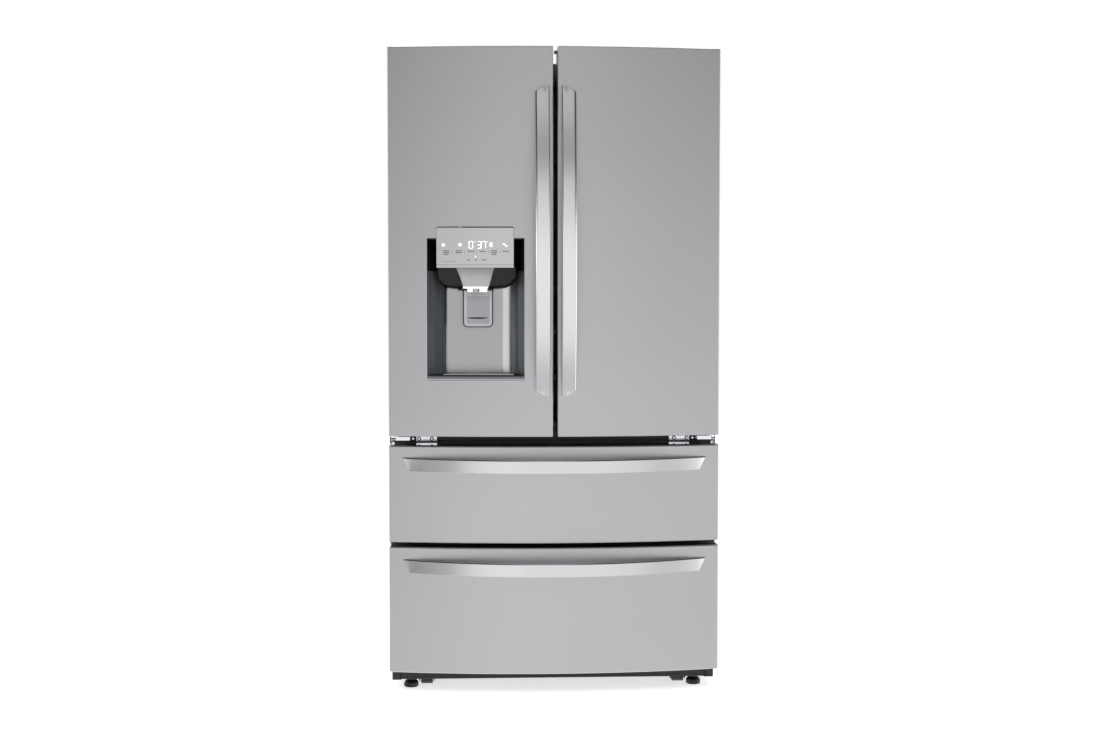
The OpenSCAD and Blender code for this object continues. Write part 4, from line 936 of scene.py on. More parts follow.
clear_styrene = see_through("clear_polystyrene_drawer", "#eef4f6", 0.03, 1.59)
low, high = box_mm("crisper_drawers")
for side, label in ((-1, "left"), (1, "right")):
    x0, x1 = sorted((side * 3.2, side * (high[0] - 0.2)))
    bm = bmesh.new()
    tray(bm, (x0, low[1] + 13.2, low[2] + 0.3), (x1, high[1] - 0.2, high[2]))
    g0, g1 = sorted((side * 21, side * 376))
    soft_block(bm, (g0, low[1] + 0.3, high[2] - 9.6), (g1, low[1] + 14.6, high[2] - 0.2), 4.4, 5)
    for n in range(3):
        x = (x0 + x1) / 2 - 150 + n * 145
        soft_block(bm, (x, low[1] + 40, low[2] + 2.2), (x + 4, high[1] - 30, low[2] + 4.6), 0.9, 2)
    make_piece(f"{label}_crisper", bm, clear_styrene, "cabinet", ["crisper_drawers"] if side == 1 else ())
low, high = box_mm("pantry_drawer")
bm = bmesh.new()
tray(bm, (low[0] + 0.2, low[1] + 13.2, 747.2), (high[0] - 0.2, high[1] - 0.2, high[2]))
soft_block(bm, (-366, low[1] + 0.3, high[2] - 9.6), (366, low[1] + 14.6, high[2] - 0.2), 4.4, 5)
soft_block(bm, (-1.4, low[1] + 20, 750), (1.4, high[1] - 8, high[2] - 18), 1.0, 2)
for side in (-1, 1):
    x0, x1 = sorted((side * 327.2, side * 347.2))
    soft_block(bm, (x0, low[1] + 33.5, low[2]), (x1, high[1] - 10.5, 748.4), 2, 2)
make_piece("pantry_tray", bm, clear_styrene, "cabinet", ["pantry_drawer"])

# ---- Door and drawer skins -----------------------------------------------------------------------
# One millimetre ferritic stainless steel, rolled to one wide bow across the whole front and folded
# back on all four sides with tight round corners. The face is brushed sideways and lacquered.


def arc_radius(half, rise):
    """The radius of an arc that rises by so much over half its width."""
    return (half ** 2 + rise ** 2) / (2 * rise)


front_y = box_mm("upper_drawer_skin")[0][1]
door_back = box_mm("right_door_gasket")[0][1]
bow_sag = 44.7
bow_radius = arc_radius(half_width, bow_sag)


def bow(x, inset=0.0):
    """Y of the bowed front at x, set back by inset."""
    return front_y + bow_radius - math.sqrt((bow_radius - inset) ** 2 - x * x)


steel_face = stainless("brushed_ferritic_steel", "#d4d5d7", 0.42)


def bowed_line(x0, x1, steps, also=(), inset=0.0, back=None):
    """The plan outline of a bowed front from x0 to x1 with rounded corners, set in by inset."""
    arcs = []
    for x, way in ((x0, -1), (x1, 1)):
        radius = 5.5 if abs(x) > half_width - 30 else 3.5
        cx = x - way * radius
        cy = bow(cx, radius)
        lean = math.asin(cx / (bow_radius - radius))
        turns = [way * math.pi / 2 + (lean - way * math.pi / 2) * i / 6 for i in range(7)]
        reach = radius - inset
        arc = [(cx + reach * math.sin(t), cy - reach * math.cos(t)) for t in turns]
        arcs.append(arc if way < 0 else arc[::-1])
    columns = spread(arcs[0][-1][0], arcs[1][0][0], steps, also)[1:-1]
    front = [(x, bow(x) + inset) for x in columns]
    return [(x0 + inset, back), *arcs[0], *front, *arcs[1], (x1 - inset, back)]


def bowed_skin(name, node, body, opening=None, taller=0.0, corner=2.6):
    """A bowed face folded back all round, with an opening (x0, x1, z0, z1) cut in it if given."""
    low, high = box_mm(node)
    high[2] += taller
    low[2] -= taller * 0.4
    fold = corner + 0.4
    steps = 96 if high[0] - low[0] > 600 else 56
    also = opening[:2] if opening else ()
    rows = [low[2], *(opening[2:] if opening else ()), high[2]]
    bm = bmesh.new()
    x0, x1 = max(low[0], 0.4 - half_width), min(high[0], half_width - 0.4)
    line = bowed_line(x0, x1, steps, also, 0.0, high[1])
    tucked = bowed_line(x0, x1, steps, also, fold, high[1])
    levels = [(tucked, rows[0]), *((line, z) for z in rows), (tucked, rows[-1])]
    before = None
    for points, z in levels:
        ring = [bm.verts.new(mm(x, y, z)) for x, y in points]
        edges = [bm.edges.new(pair) for pair in zip(ring, ring[1:])]
        if before:
            bmesh.ops.bridge_loops(bm, edges=before + edges)
        before = edges
    folds = [e for e in bm.edges if len(e.link_faces) == 2 and e.calc_face_angle(0) > 0.9]
    bevel(bm, folds, corner, 5)
    if opening:
        x0, x1, z0, z1 = (c / 1000 for c in opening)
        middles = [(f, f.calc_center_median()) for f in bm.faces]
        deepest = (bow(half_width) + 10) / 1000
        hole = [f for f, at in middles if x0 < at.x < x1 and z0 < at.z < z1 and at.y < deepest]
        bmesh.ops.delete(bm, geom=hole, context="FACES")
    make_piece(name, bm, steel_face, body, [node], wall=0.8)


recess_low, recess_high = box_mm("dispenser_housing")
sill = recess_low[2] - 4.6
bowed_skin("right_door_face", "right_door_skin", "right_door")
opening = (recess_low[0], recess_high[0], sill, recess_high[2])
bowed_skin("left_door_face", "left_door_skin", "left_door", opening)
bowed_skin("upper_drawer_face", "upper_drawer_skin", "upper_drawer", taller=4.6, corner=4.4)
bowed_skin("lower_drawer_face", "lower_drawer_skin", "lower_drawer", taller=4.2, corner=4.4)

# ---- Door end caps -------------------------------------------------------------------------------
# Dark plastic caps close the foam space at the top and the bottom of each door, inside the folded
# edge of the skin. Each has the well of the hinge pin; the upper right one has a rubber bumper.

cap_dark = moulded("dark_end_cap_abs", "#3f4143", 0.38)
door_low, door_high = box_mm("right_door_skin")
for side, name in ((1, "right"), (-1, "left")):
    for label, z0 in (("upper", door_high[2] - 13.8), ("lower", door_low[2] + 1.2)):
        z1 = z0 + 12.6
        bm = bmesh.new()
        line = bowed_line(door_low[0], door_high[0], 24, (), 2.4, door_back - 0.2)
        raised(bm, [(x, y, z0) for x, y in line], 0, 0, z1 - z0)
        rounded(bm, bm.verts, 2.2, 3)
        rounded(bm, rod(bm, (pin_x, pin_y, z0 + 4), (pin_x, pin_y, z1 + 0.25), 8.6, 40), 0.5, 2)
        if side == 1 and label == "upper":
            soft_block(bm, (-1.5, -352, z1 - 13), (7, -336, z1 - 5), 1.5, 2)
        mirrored(bm, side)
        stands_for = [f"{name}_door_caps"] if label == "upper" else ()
        make_piece(f"{name}_{label}_cap", bm, cap_dark, f"{name}_door", stands_for)

# ---- Door inner panels, gaskets and bins ---------------------------------------------------------
# The back of each door is one vacuum-formed white sheet with a raised border, foamed to the skin. A
# magnetic bellows gasket of grey PVC snaps in round it, and clear bins hang between the borders.


def inner_panel(bm, field, border, wall, base_y, top_y, corner=16):
    """A formed panel with a raised border: outer field, rounded crest, and a sunk middle."""
    levels = [(0, 7 - base_y, 4), (0, 0.8 - base_y, 4), (0.8, -base_y, 4)]
    rims = stepped(bm, field[::2], field[1::2], levels, 6)
    levels = ((-2.5, base_y), (-0.6, base_y + 0.8), (0, base_y + 3), (0.8, top_y - 5), (1.6, top_y - 1.6),
              (3.8, top_y), (wall - 3.8, top_y), (wall - 1.6, top_y - 1.6), (wall - 0.8, top_y - 5),
              (wall, base_y + 6), (wall + 1.4, base_y + 2), (wall + 5, base_y + 0.4))
    rims += stepped(bm, border[::2], border[1::2], [(inset, -y, corner) for inset, y in levels], 6)
    joined(bm, rims, (False, True))


door_white = moulded("white_polystyrene_door_panel", "#e4e6e8", 0.25, grain_mm=2.5, depth_mm=0.03,
                     vary=0.015)
gasket_pvc = moulded("grey_soft_pvc_gasket", "#5d6063", 0.6, grain_mm=0.8, depth_mm=0.03)


def bellows(body):
    """The hollow folded section of a magnetic gasket, carried round four corners."""
    low, high = box_mm(f"{body}_gasket")
    half = [(1.2, 0), (0.6, 1.4), (2.6, 2.6), (0.5, 4.2), (0.4, 7.2), (0, 8.2), (0, 11.5), (0.5, 11.7)]
    section = half + [(16 - inset, depth) for inset, depth in reversed(half)]
    bm = bmesh.new()
    levels = [(inset, -low[1] - depth, max(5 - inset, 1.2)) for inset, depth in section]
    rims = stepped(bm, low[::2], high[::2], levels)
    joined(bm, rims, (False, False))
    bmesh.ops.bridge_loops(bm, edges=rims[0] + rims[-1])
    laid_back(bm)
    make_piece(f"{body}_bellows_gasket", bm, gasket_pvc, body, [f"{body}_gasket"])


for side, label in ((1, "right"), (-1, "left")):
    bm = bmesh.new()
    field = (7.6, 452.4, door_low[2] + 14.2, door_high[2] - 14.2)
    inner_panel(bm, field, (66, 392, 752, 1672), 12, door_back, -215)
    laid_back(bm)
    for z in ((812, 1110, 1412) if side == 1 else (812, 1020)):
        for x in (79.5, 378.5):
            soft_block(bm, (x - 1.8, -282, z - 16), (x + 1.8, -236, z + 16), 1.5, 3)
    if side == -1:
        bulge = block(bm, (74, door_back - 1, recess_low[2] - 25),
                      (362, door_back + 49.8, recess_high[2] + 50))
        bulge = rounded(bm, bulge, 22, 6, lambda at, way: abs(way.y) > 10)
        rounded(bm, bulge, 6, 4, lambda at, way: at.y > door_back + 40)
        soft_block(bm, (171.2, door_back + 46, recess_high[2] - 5), (258.8, -170.2, recess_high[2] + 50), 5,
                   4)
        for z in (777.9, 1668.5):
            soft_block(bm, (46.2, -269.8, z), (68, -254.2, z + 13.4), 2.5, 3)
    mirrored(bm, side)
    make_piece(f"{label}_door_inner_panel", bm, door_white, f"{label}_door", [f"{label}_door_core"])
    bellows(f"{label}_door")

clear_bin = see_through("clear_polystyrene_bin", "#edf3f5", 0.03, 1.59)
trim_white = moulded("white_bin_front_band", "#d9dcdf", 0.25)
bins = {"left": [(766, 842.4, door_back, -177), (recess_low[2] + 110, recess_low[2] + 190, -235, -175)],
        "right": [(766 + n * 302, 861 + n * 302, door_back, -177) for n in range(3)]}
for label, side in (("right", 1), ("left", -1)):
    x0, x1 = sorted((side * 78.5, side * 379.5))
    bm = bmesh.new()
    for z0, z1, y0, y1 in bins[label]:
        tray(bm, (x0, y0 + 0.4, z0 + 0.2), (x1, y1 - 0.3, z1), 12, 2.4, 8, 1.6, 2)
    make_piece(f"{label}_door_bin_trays", bm, clear_bin, f"{label}_door", [f"{label}_door_bins"])
    bm = bmesh.new()
    for z0, z1, y0, y1 in bins[label]:
        soft_block(bm, (x0 + 8, y1 - 1.4, z1 - 17), (x1 - 8, y1 + 0.2, z1 - 5.5), 0.7, 2)
    make_piece(f"{label}_door_bin_bands", bm, trim_white, f"{label}_door")

# ---- Ice compartment -----------------------------------------------------------------------------
# An insulated white box above the dispenser, with the ice maker at its top and the clear ice bin
# under it. The bin feeds the chute that runs down through the door.

low, high = box_mm("ice_compartment")
bm = bmesh.new()
levels = ((0.2, low[1] + 0.2, 6), (0.2, high[1] - 3.5, 6), (1.2, high[1] - 0.8, 6), (3.2, high[1], 5),
          (7.6, high[1], 4), (9.4, high[1] - 1, 4), (10, high[1] - 3, 4), (10, low[1] + 12, 4),
          (14, low[1] + 8.2, 4))
joined(bm, stepped(bm, low[::2], high[::2], [(inset, -y, corner) for inset, y, corner in levels]))
laid_back(bm)
make_piece("ice_compartment_box", bm, door_white, "left_door", ["ice_compartment"])
bm = bmesh.new()
levels = ((3.4, -0.5), (3.4, 0.0), (4.4, -0.1), (6.4, -0.1), (7.4, 0.0), (7.4, -0.5))
rims = stepped(bm, low[::2], high[::2], [(inset, -high[1] - out, 4) for inset, out in levels])
joined(bm, rims, (False, False))
laid_back(bm)
make_piece("ice_compartment_seal", bm, gasket_pvc, "left_door")
mould_grey = moulded("grey_coated_ice_mould", "#85888c", 0.45, metallic=0.3)
bm = bmesh.new()
soft_block(bm, (low[0] + 12, low[1] + 14, high[2] - 92), (low[0] + 66, high[1] - 16, high[2] - 14), 5, 4)
soft_block(bm, (low[0] + 66, low[1] + 24, high[2] - 84), (high[0] - 16, high[1] - 24, high[2] - 44), 7, 4,
           lambda at, way: abs(way.x) > 50)
for x in spread(low[0] + 74, high[0] - 22, 7):
    soft_block(bm, (x - 2, low[1] + 30, high[2] - 46), (x + 2, high[1] - 40, high[2] - 30), 1.4, 2)
rod(bm, (low[0] + 60, -222, high[2] - 34), (high[0] - 18, -222, high[2] - 34), 4, 20)
make_piece("ice_maker", bm, mould_grey, "left_door")
low, high = box_mm("ice_bin")
bm = bmesh.new()
tray(bm, (low[0] + 0.2, low[1] + 0.2, low[2] + 0.2), (high[0] - 0.2, high[1] - 0.2, high[2]), 12, 2.6, 8, 2,
     2)
cx = (low[0] + high[0]) / 2
soft_block(bm, (cx - 60, high[1] - 5, high[2] - 40), (cx + 60, high[1] - 0.4, high[2] - 26), 2, 3)
make_piece("ice_bin_tray", bm, clear_bin, "left_door", ["ice_bin"])

# ---- Flap between the doors ----------------------------------------------------------------------
# A narrow heated bar hinged to the left door. Its black steel face bridges the gap, so that both
# doors' gaskets have something to seal on; a guide pin at each end folds it as the door opens.

low, high = box_mm("mullion_flap")
flap_paint = painted_steel("black_flap_enamel", "#131415", 0.4, grain_mm=0.9)
flap_painted_highlight = moulded("grey_flap_painted_highlight", "#7a7c7e", 0.5)
z0, z1 = low[2] + 10, high[2] - 10
bm = bmesh.new()
soft_block(bm, (low[0] + 0.1, low[1] + 1.0, z0 + 0.2), (high[0] - 0.1, high[1] - 0.1, z1 - 0.2), 3, 4)
soft_block(bm, (low[0] + 3, low[1] + 0.1, z0 + 3), (high[0] - 2, low[1] + 2, z1 - 3), 0.8, 2)
for end, z in ((z0, low[2] + 0.2), (z1, high[2] - 0.2)):
    rod(bm, (-52, -262, end), (-52, -262, z), 3, 24)
for z in spread(z0 + 90, z1 - 90, 4):
    soft_block(bm, (low[0] + 10, high[1] - 1.2, z - 55), (high[0] - 10, high[1] - 0.05, z + 55), 0.5, 2)
make_piece("flap_body", bm, flap_paint, "mullion_flap", ["mullion_flap"])
# A thin grey strip down one edge of the flap's face: painted highlight for the part of the face that
# catches light, the rest being in shade.
bm = bmesh.new()
soft_block(bm, (-0.2, low[1] + 0.0, z0 + 6), (2.4, low[1] + 0.6, z1 - 6), 0.25, 1)
make_piece("flap_painted_highlight_strip", bm, flap_painted_highlight, "mullion_flap")

# ---- Upright door handles ------------------------------------------------------------------------
# Bowed bars of extruded aluminium in a bright brushed steel finish, one on each side of the middle
# gap. A hidden post near each end carries the bar; a screw comes through the skin into each post.

bar_steel = stainless("satin_polished_handle_bar", "#e5e6e8", 0.17, along_mm=160, across_mm=0.7, axis="Z",
                      depth_mm=0.004)
post_metal = stainless("turned_handle_post", "#9c9d9f", 0.34, along_mm=8, across_mm=0.5)


def swept_section(bm, corners, soft, centre, axis, angle, steps, start=0.0):
    """A section with rounded corners, swept round an axis; gives the rings of vertices in order."""
    verts = [bm.verts.new(mm(*corner)) for corner in corners]
    bm.faces.new(verts)
    for vert, radius in zip(verts, soft):
        if radius:
            bevel(bm, [vert], radius, 4, "VERTICES")
    bm.faces.ensure_lookup_table()
    face = bm.faces[-1]
    middle = mm(*centre)
    bmesh.ops.rotate(bm, verts=face.verts, cent=middle, matrix=Matrix.Rotation(start, 3, axis))
    rings = [list(face.verts)]
    made = {"geom_last": [face, *face.edges, *face.verts]}
    for _ in range(steps):
        made = bmesh.ops.spin(bm, geom=made["geom_last"], cent=middle, axis=axis, dvec=(0, 0, 0),
                              angle=angle / steps, steps=1)
        rings.append([v for v in made["geom_last"] if isinstance(v, bmesh.types.BMVert)])
    return rings


def cut_ends(bm, rings, axis, near_y, radius, middle, reach_of):
    """Slides both end sections of a bowed bar along its arc to where reach_of wants each corner."""
    for ring in (rings[0], rings[-1]):
        way = 1 if sum(v.co[axis] for v in ring) > middle / 1000 * len(ring) else -1
        for v in ring:
            away = math.hypot(v.co.y * 1000 - near_y - radius, v.co[axis] * 1000 - middle)
            out = reach_of(v.co * 1000)
            v.co[axis] = (middle + way * out) / 1000
            v.co.y = (near_y + radius - math.sqrt(away ** 2 - out ** 2)) / 1000
        edge = [e for f in {f for v in ring for f in v.link_faces if len(f.verts) > 6} for e in f.edges]
        bevel(bm, edge, 1.2, 2)


stand_off = 64
for side, door in ((1, "right"), (-1, "left")):
    low, high = box_mm("right_door_handle")
    half, middle = (high[2] - low[2]) / 2, (high[2] + low[2]) / 2
    rise = stand_off - 12.7
    radius = arc_radius(half, rise)
    reach = math.asin((half - 0.2) / radius)
    width, thick, cut = high[0] - low[0], 14, 17
    bm = bmesh.new()
    across = [low[0] + width * part for part in (0, 0.25, 0.5, 0.72, 1)]
    rings = swept_section(
        bm, [(x, low[1], middle) for x in across] + [(x, low[1] + thick, middle) for x in reversed(across)],
        [2.2, 0, 0, 0, 5.0, 3.0, 0, 0, 0, 2.0], (0, low[1] + radius, middle), Vector((1, 0, 0)), 2 * reach,
        40, -reach)
    cut_ends(bm, rings, 2, low[1], radius, middle, lambda at: half - ((at.x - low[0]) / width) ** 2 * cut)
    mirrored(bm, side)
    make_piece(f"{door}_handle_bar", bm, bar_steel, f"{door}_door", [f"{door}_door_handle"])
    bm = bmesh.new()
    at = (low[0] + high[0]) / 2 * side
    for end in (-1, 1):
        z = middle + end * (half - 42)
        bar_back = low[1] + radius - math.sqrt((radius - thick) ** 2 - (half - 42) ** 2)
        rod(bm, (at, bar_back - 4, z), (at, bow(at) + 4, z), 9, 40)
        rod(bm, (at, bow(at) - 2.2, z), (at, bow(at) + 2, z), 12.5, 40, 12.5)
        bmesh.ops.scale(bm, vec=(1, 1, 1.5), space=Matrix.Translation(-mm(0, 0, z)),
                        verts=[v for v in bm.verts if abs(v.co.z * 1000 - z) < 20])
    make_piece(f"{door}_handle_posts", bm, post_metal, f"{door}_door")

# ---- Drawer handles ------------------------------------------------------------------------------
# The same brushed bar laid across each drawer, bowed more than the drawer's face, so that its ends
# come down to the skin. The ends are cut on a slant, longer along the upper edge.

bar_steel_across = stainless("satin_polished_drawer_bar", "#dcdddf", 0.17, along_mm=160, across_mm=0.7,
                             axis="X", depth_mm=0.004)
for drawer, up, down in (("upper", 3.2, 0.0), ("lower", 1.2, 2.0)):
    low, high = box_mm(f"{drawer}_drawer_handle")
    high[2] += up
    low[2] -= down
    half = high[0]
    rise = stand_off + bow(half) - front_y - 3
    radius = arc_radius(half, rise)
    reach = math.asin((half - 0.3) / radius)
    thick, slant = 14, 20
    bm = bmesh.new()
    rings = swept_section(
        bm, [(0, low[1], low[2]), (0, low[1], high[2]), (0, low[1] + thick, high[2]),
             (0, low[1] + thick, low[2])],
        [2.4, 3.6, 3.0, 2.0], (0, low[1] + radius, low[2]), Vector((0, 0, 1)), 2 * reach, 36, -reach)
    cut_ends(bm, rings, 0, low[1], radius, 0,
             lambda at: half - slant * (high[2] - at.z) / (high[2] - low[2]))
    make_piece(f"{drawer}_drawer_bar", bm, bar_steel_across, f"{drawer}_drawer",
               [f"{drawer}_drawer_handle"])
    bm = bmesh.new()
    for side in (-1, 1):
        x = side * (half - 62)
        bar_back = low[1] + radius - math.sqrt((radius - thick) ** 2 - x ** 2)
        rod(bm, (x, bar_back - 4, (low[2] + high[2]) / 2), (x, bow(x) + 4, (low[2] + high[2]) / 2), 9, 40)
    make_piece(f"{drawer}_handle_posts", bm, post_metal, f"{drawer}_drawer")

# ---- Dispenser housing ---------------------------------------------------------------------------
# The recess is one deep moulding of dark grey ABS whose side walls lean in and turn round a wide
# bend, held by clips behind the skin. A satin metallised sheet is snapped over its back, and a thin
# bright trim covers the cut edge of the skin.

edge_y = bow(half_width)
dark_abs = moulded("dark_grey_dispenser_abs", "#54575a", 0.30)
# Black plastic for the recess roof, the paddle arm and the drip tray; the same material is painted shade in
# the covers over the upper side walls and in the arm's border round the paddle.
black_abs_and_shade = moulded("black_recess_abs_and_painted_shade", "#0d0e0f", 0.5)
metallised = moulded("satin_metallised_sheet", "#b2b3b5", 0.26, grain_mm=2.0, depth_mm=0.001, metallic=1.0,
                     vary=0.02)
# A lighter copy of the metallised sheet's finish: painted highlight for the light caught along the sheet's
# right end.
metallised_painted_highlight = moulded("metallised_sheet_painted_highlight", "#d9dadc", 0.26, grain_mm=2.0, depth_mm=0.001,
                          metallic=1.0, vary=0.02)
middle_x = (recess_low[0] + recess_high[0]) / 2
wall_back = recess_high[1] - 7


def strip(bm, points, z0, z1):
    """A line of points in the XY plane, in millimetres, drawn up into a sheet."""
    ring = [bm.verts.new(mm(x, y, z0)) for x, y in points]
    edges = [bm.edges.new(pair) for pair in zip(ring, ring[1:])]
    made = bmesh.ops.extrude_edge_only(bm, edges=edges)
    up = [v for v in made["geom"] if isinstance(v, bmesh.types.BMVert)]
    bmesh.ops.translate(bm, verts=up, vec=mm(0, 0, z1 - z0))
    return [e for e in bm.edges if abs(e.verts[0].co.z - e.verts[1].co.z) > 0.1 and len(e.link_faces) == 2]


def bowed_band(bm, x0, x1, z0, z1, proud, thick):
    """A band that follows the bow of the door."""
    columns = spread(x0, x1, 24)
    line = [(x, bow(x) - proud, z0) for x in columns]
    raised(bm, line + [(x, y + thick, z) for x, y, z in reversed(line)], 0, 0, z1 - z0)


x0, x1 = recess_low[0] + 1, recess_high[0] - 1
z0, z1 = recess_low[2] + 1, recess_high[2] - 1
inner_plan = [(x1 - 7, edge_y + 12), (x1 - 24, wall_back), (x0 + 36, wall_back), (x0 + 9, edge_y + 12)]
bm = bmesh.new()
bends = strip(bm, [(x0, bow(x0) + 1), *reversed(inner_plan), (x1, bow(x1) + 1)], z0, z1)
bevel(bm, bends, 12, 8)
make_piece("dispenser_walls", bm, dark_abs, "left_door", ["dispenser_housing"], wall=2, outward=True,
           angle=60)
plan = [(x, bow(x) + 1) for x in spread(x0, x1, 12)] + inner_plan
bm = bmesh.new()
raised(bm, [(x, max(y, bow(x) + 14), z1) for x, y in plan], 0, 0, -3)
shade_cover_z = 1165
# Black covers over the upper part of both side walls: painted shade for the deep shadow at the top of the
# walls, beside the hood and under the panel
for way, edge, bend, inner in ((1, x0 + 0.8, x0 + 9.8, x0 + 36), (-1, x1 - 0.8, x1 - 7.8, x1 - 24)):
    line = [(edge, bow(edge) + 3), (bend, edge_y + 12), (inner + way * 1.2, wall_back - 1)]
    outline = line + [(x + way * 1.4, y) for x, y in reversed(line)]
    raised(bm, [(x, y, shade_cover_z) for x, y in outline], 0, 0, z1 - shade_cover_z)
make_piece("dispenser_roof_and_painted_shade", bm, black_abs_and_shade, "left_door")
bm = bmesh.new()
raised(bm, [(x, y, z0) for x, y in plan], 0, 0, 5)
make_piece("dispenser_floor", bm, dark_abs, "left_door")

bm = bmesh.new()
sheet_z = (recess_low[2] + 13.4, 1135)
bends = strip(bm, [(-303, wall_back - 15), (-300, wall_back - 4), (-142, wall_back - 4)], *sheet_z)
bevel(bm, bends, 10.5, 8)
make_piece("dispenser_back_sheet", bm, metallised, "left_door", wall=0.6, angle=60)
# A strip at the right end of the back sheet, in the lighter copy of its finish: a painted highlight along
# that end.
bm = bmesh.new()
strip(bm, [(-142, wall_back - 4), (-138, wall_back - 4.6), (-132, wall_back - 5), (-126, wall_back - 4.8),
           (-119, wall_back - 3.6)], *sheet_z)
make_piece("dispenser_sheet_painted_highlight", bm, metallised_painted_highlight, "left_door", wall=0.6, angle=60)

bm = bmesh.new()
bowed_band(bm, recess_low[0] - 1.6, recess_high[0] + 1.6, sill - 2.4, sill, 0.8, 2.4)
for x in (recess_low[0], recess_high[0]):
    block(bm, (x - 1.6, bow(x) - 0.7, sill), (x + 0.6, bow(x) + 1.7, recess_high[2]))
rounded(bm, bm.verts, 0.6, 2)
trim_steel = stainless("bright_recess_trim", "#d8d9db", 0.3, along_mm=30, across_mm=0.5)
make_piece("dispenser_trim", bm, trim_steel, "left_door")
bm = bmesh.new()
bowed_band(bm, recess_low[0], recess_high[0], sill, recess_low[2] + 0.8, -0.6, 4)
rounded(bm, bm.verts, 0.5, 2)
make_piece("dispenser_sill", bm, metallised, "left_door")

# ---- Dispenser hood, funnel and nozzle -----------------------------------------------------------
# A dark moulding hangs behind the control panel, deeper in its middle than at its sides. The pale
# ice funnel is clipped over its front, above the lit lamp lens and the water nozzle.

hood_abs = stainless("dark_brushed_hood_foil", "#3a3b3d", 0.40, along_mm=40, across_mm=0.7)
funnel_abs = moulded("silver_funnel_abs", "#abacae", 0.30, metallic=0.35)
# A darker copy of the funnel's silver plastic for the paddle's face: painted shade, so that the rim round
# it reads lighter as if its bevels caught the light.
paddle_face_painted_shade = moulded("silver_abs_paddle_painted_shade", "#939497", 0.30, metallic=0.4)
white = (1, 1, 1, 1)
lamp_white, tree, shader, where = new_surface("lit_lamp_lens", Base_Color=linear("#f4f4f2"), Roughness=0.3,
                                              Emission_Color=white, Emission_Strength=0.6)
frost = add_node(tree, "ShaderNodeTexNoise", {"Scale": 900.0}, where)
bump = add_node(tree, "ShaderNodeBump", {"Strength": 0.3, "Distance": 0.0001}, Height=frost.outputs["Fac"])
tree.links.new(bump.outputs[0], shader.inputs["Normal"])

panel_low, panel_high = box_mm("control_panel")


def lofted(bm, outlines):
    """A solid skinned over a stack of outlines that have the same number of points."""
    rings = [[bm.verts.new(mm(*p)) for p in points] for points in outlines]
    joined(bm, [[bm.edges.new(pair) for pair in zip(ring, ring[1:] + ring[:1])] for ring in rings])


hood_front = edge_y + 2
hood_x = middle_x + 3.2
bm = bmesh.new()
outlines = []
for z, half, inset in ((1176, 109, -1), (1147, 109, 2), (1140, 106.5, 3), (1132, 100, 6), (1124, 91, 11),
                       (1119, 81, 16), (1116, 62, 23)):
    y = hood_front + inset
    side = [(half, wall_back - 8), (half, y + 8), (half - 3, y + 2), (half - 14, y)]
    outlines.append([(hood_x - x, at, z) for x, at in side] + [(hood_x, y - 3, z)]
                    + [(hood_x + x, at, z) for x, at in reversed(side)])
lofted(bm, outlines)
make_piece("dispenser_hood", bm, hood_abs, "left_door", ["dispenser_outlet"], angle=50)

funnel_front = hood_front - 13
bm = bmesh.new()
outlines = []
for z, left, right, y in ((1176, -55, 51, funnel_front), (1151.4, -43.8, 44.2, funnel_front + 1.5),
                          (1122, -34.6, 36.6, funnel_front + 6)):
    side = [(left, y + 45), (left, y + 1.2), (left + 0.8, y), (left + 4.6, y), (left + 5.4, y + 1.4)]
    far = [(right - 5.4, y + 1.4), (right - 4.6, y), (right - 0.8, y), (right, y + 1.2), (right, y + 45)]
    outlines.append([(middle_x + x, at, z) for x, at in side + far])
lofted(bm, outlines)
make_piece("ice_funnel", bm, funnel_abs, "left_door", angle=50)
bm = bmesh.new()
outline = [(-47.5, 1172), (43.5, 1172), (39.5, 1161), (37, 1155.5), (32, 1152.5), (-32, 1152.5),
           (-37, 1155.5), (-41, 1161)]
raised(bm, [(middle_x + x, funnel_front + 0.6 + (1172 - z) * 0.06, z) for x, z in outline], 0, 1.4, 0)
rounded(bm, bm.verts, 0.25, 2)
make_piece("funnel_face_plate", bm, funnel_abs, "left_door")

lamp_y = edge_y - 4
bm = bmesh.new()
for low_x, high_x, low_z, high_z in ((-250, -181.6, 1117.4, 1121.6), (-237, -224, 1108, 1117.6),
                                     (-204.4, -184, 1108, 1117.6)):
    soft_block(bm, (low_x, lamp_y, low_z), (high_x, lamp_y + 26, high_z), 1.6, 3,
               lambda at, way: abs(way.y) > 10)
make_piece("lamp_lens", bm, lamp_white, "left_door", angle=50)
bm = bmesh.new()
rounded(bm, rod(bm, (middle_x, lamp_y + 7, 1120), (middle_x, lamp_y + 7, 1104.6), 7.2, 32, 6.0), 1, 2)
for z in (1114, 1110):
    rod(bm, (middle_x, lamp_y + 7, z), (middle_x, lamp_y + 7, z - 1.4), 7.7, 32)
make_piece("water_nozzle", bm, funnel_abs, "left_door")

# ---- Dispenser paddle ----------------------------------------------------------------------------
# A silver lever with round lower corners hangs on a black arm from a pin behind the nozzle; the arm's
# border round the lever is painted shadow. It has a raised rim and a finger slot, whose hollow is painted
# as a dark crescent, and a glass pushed against it opens the water or the ice.

low, high = box_mm("dispenser_paddle")
pin_y, pin_z = (low[1] + high[1]) / 2, high[2] - 5
px0, px1 = -249.4, -168.2
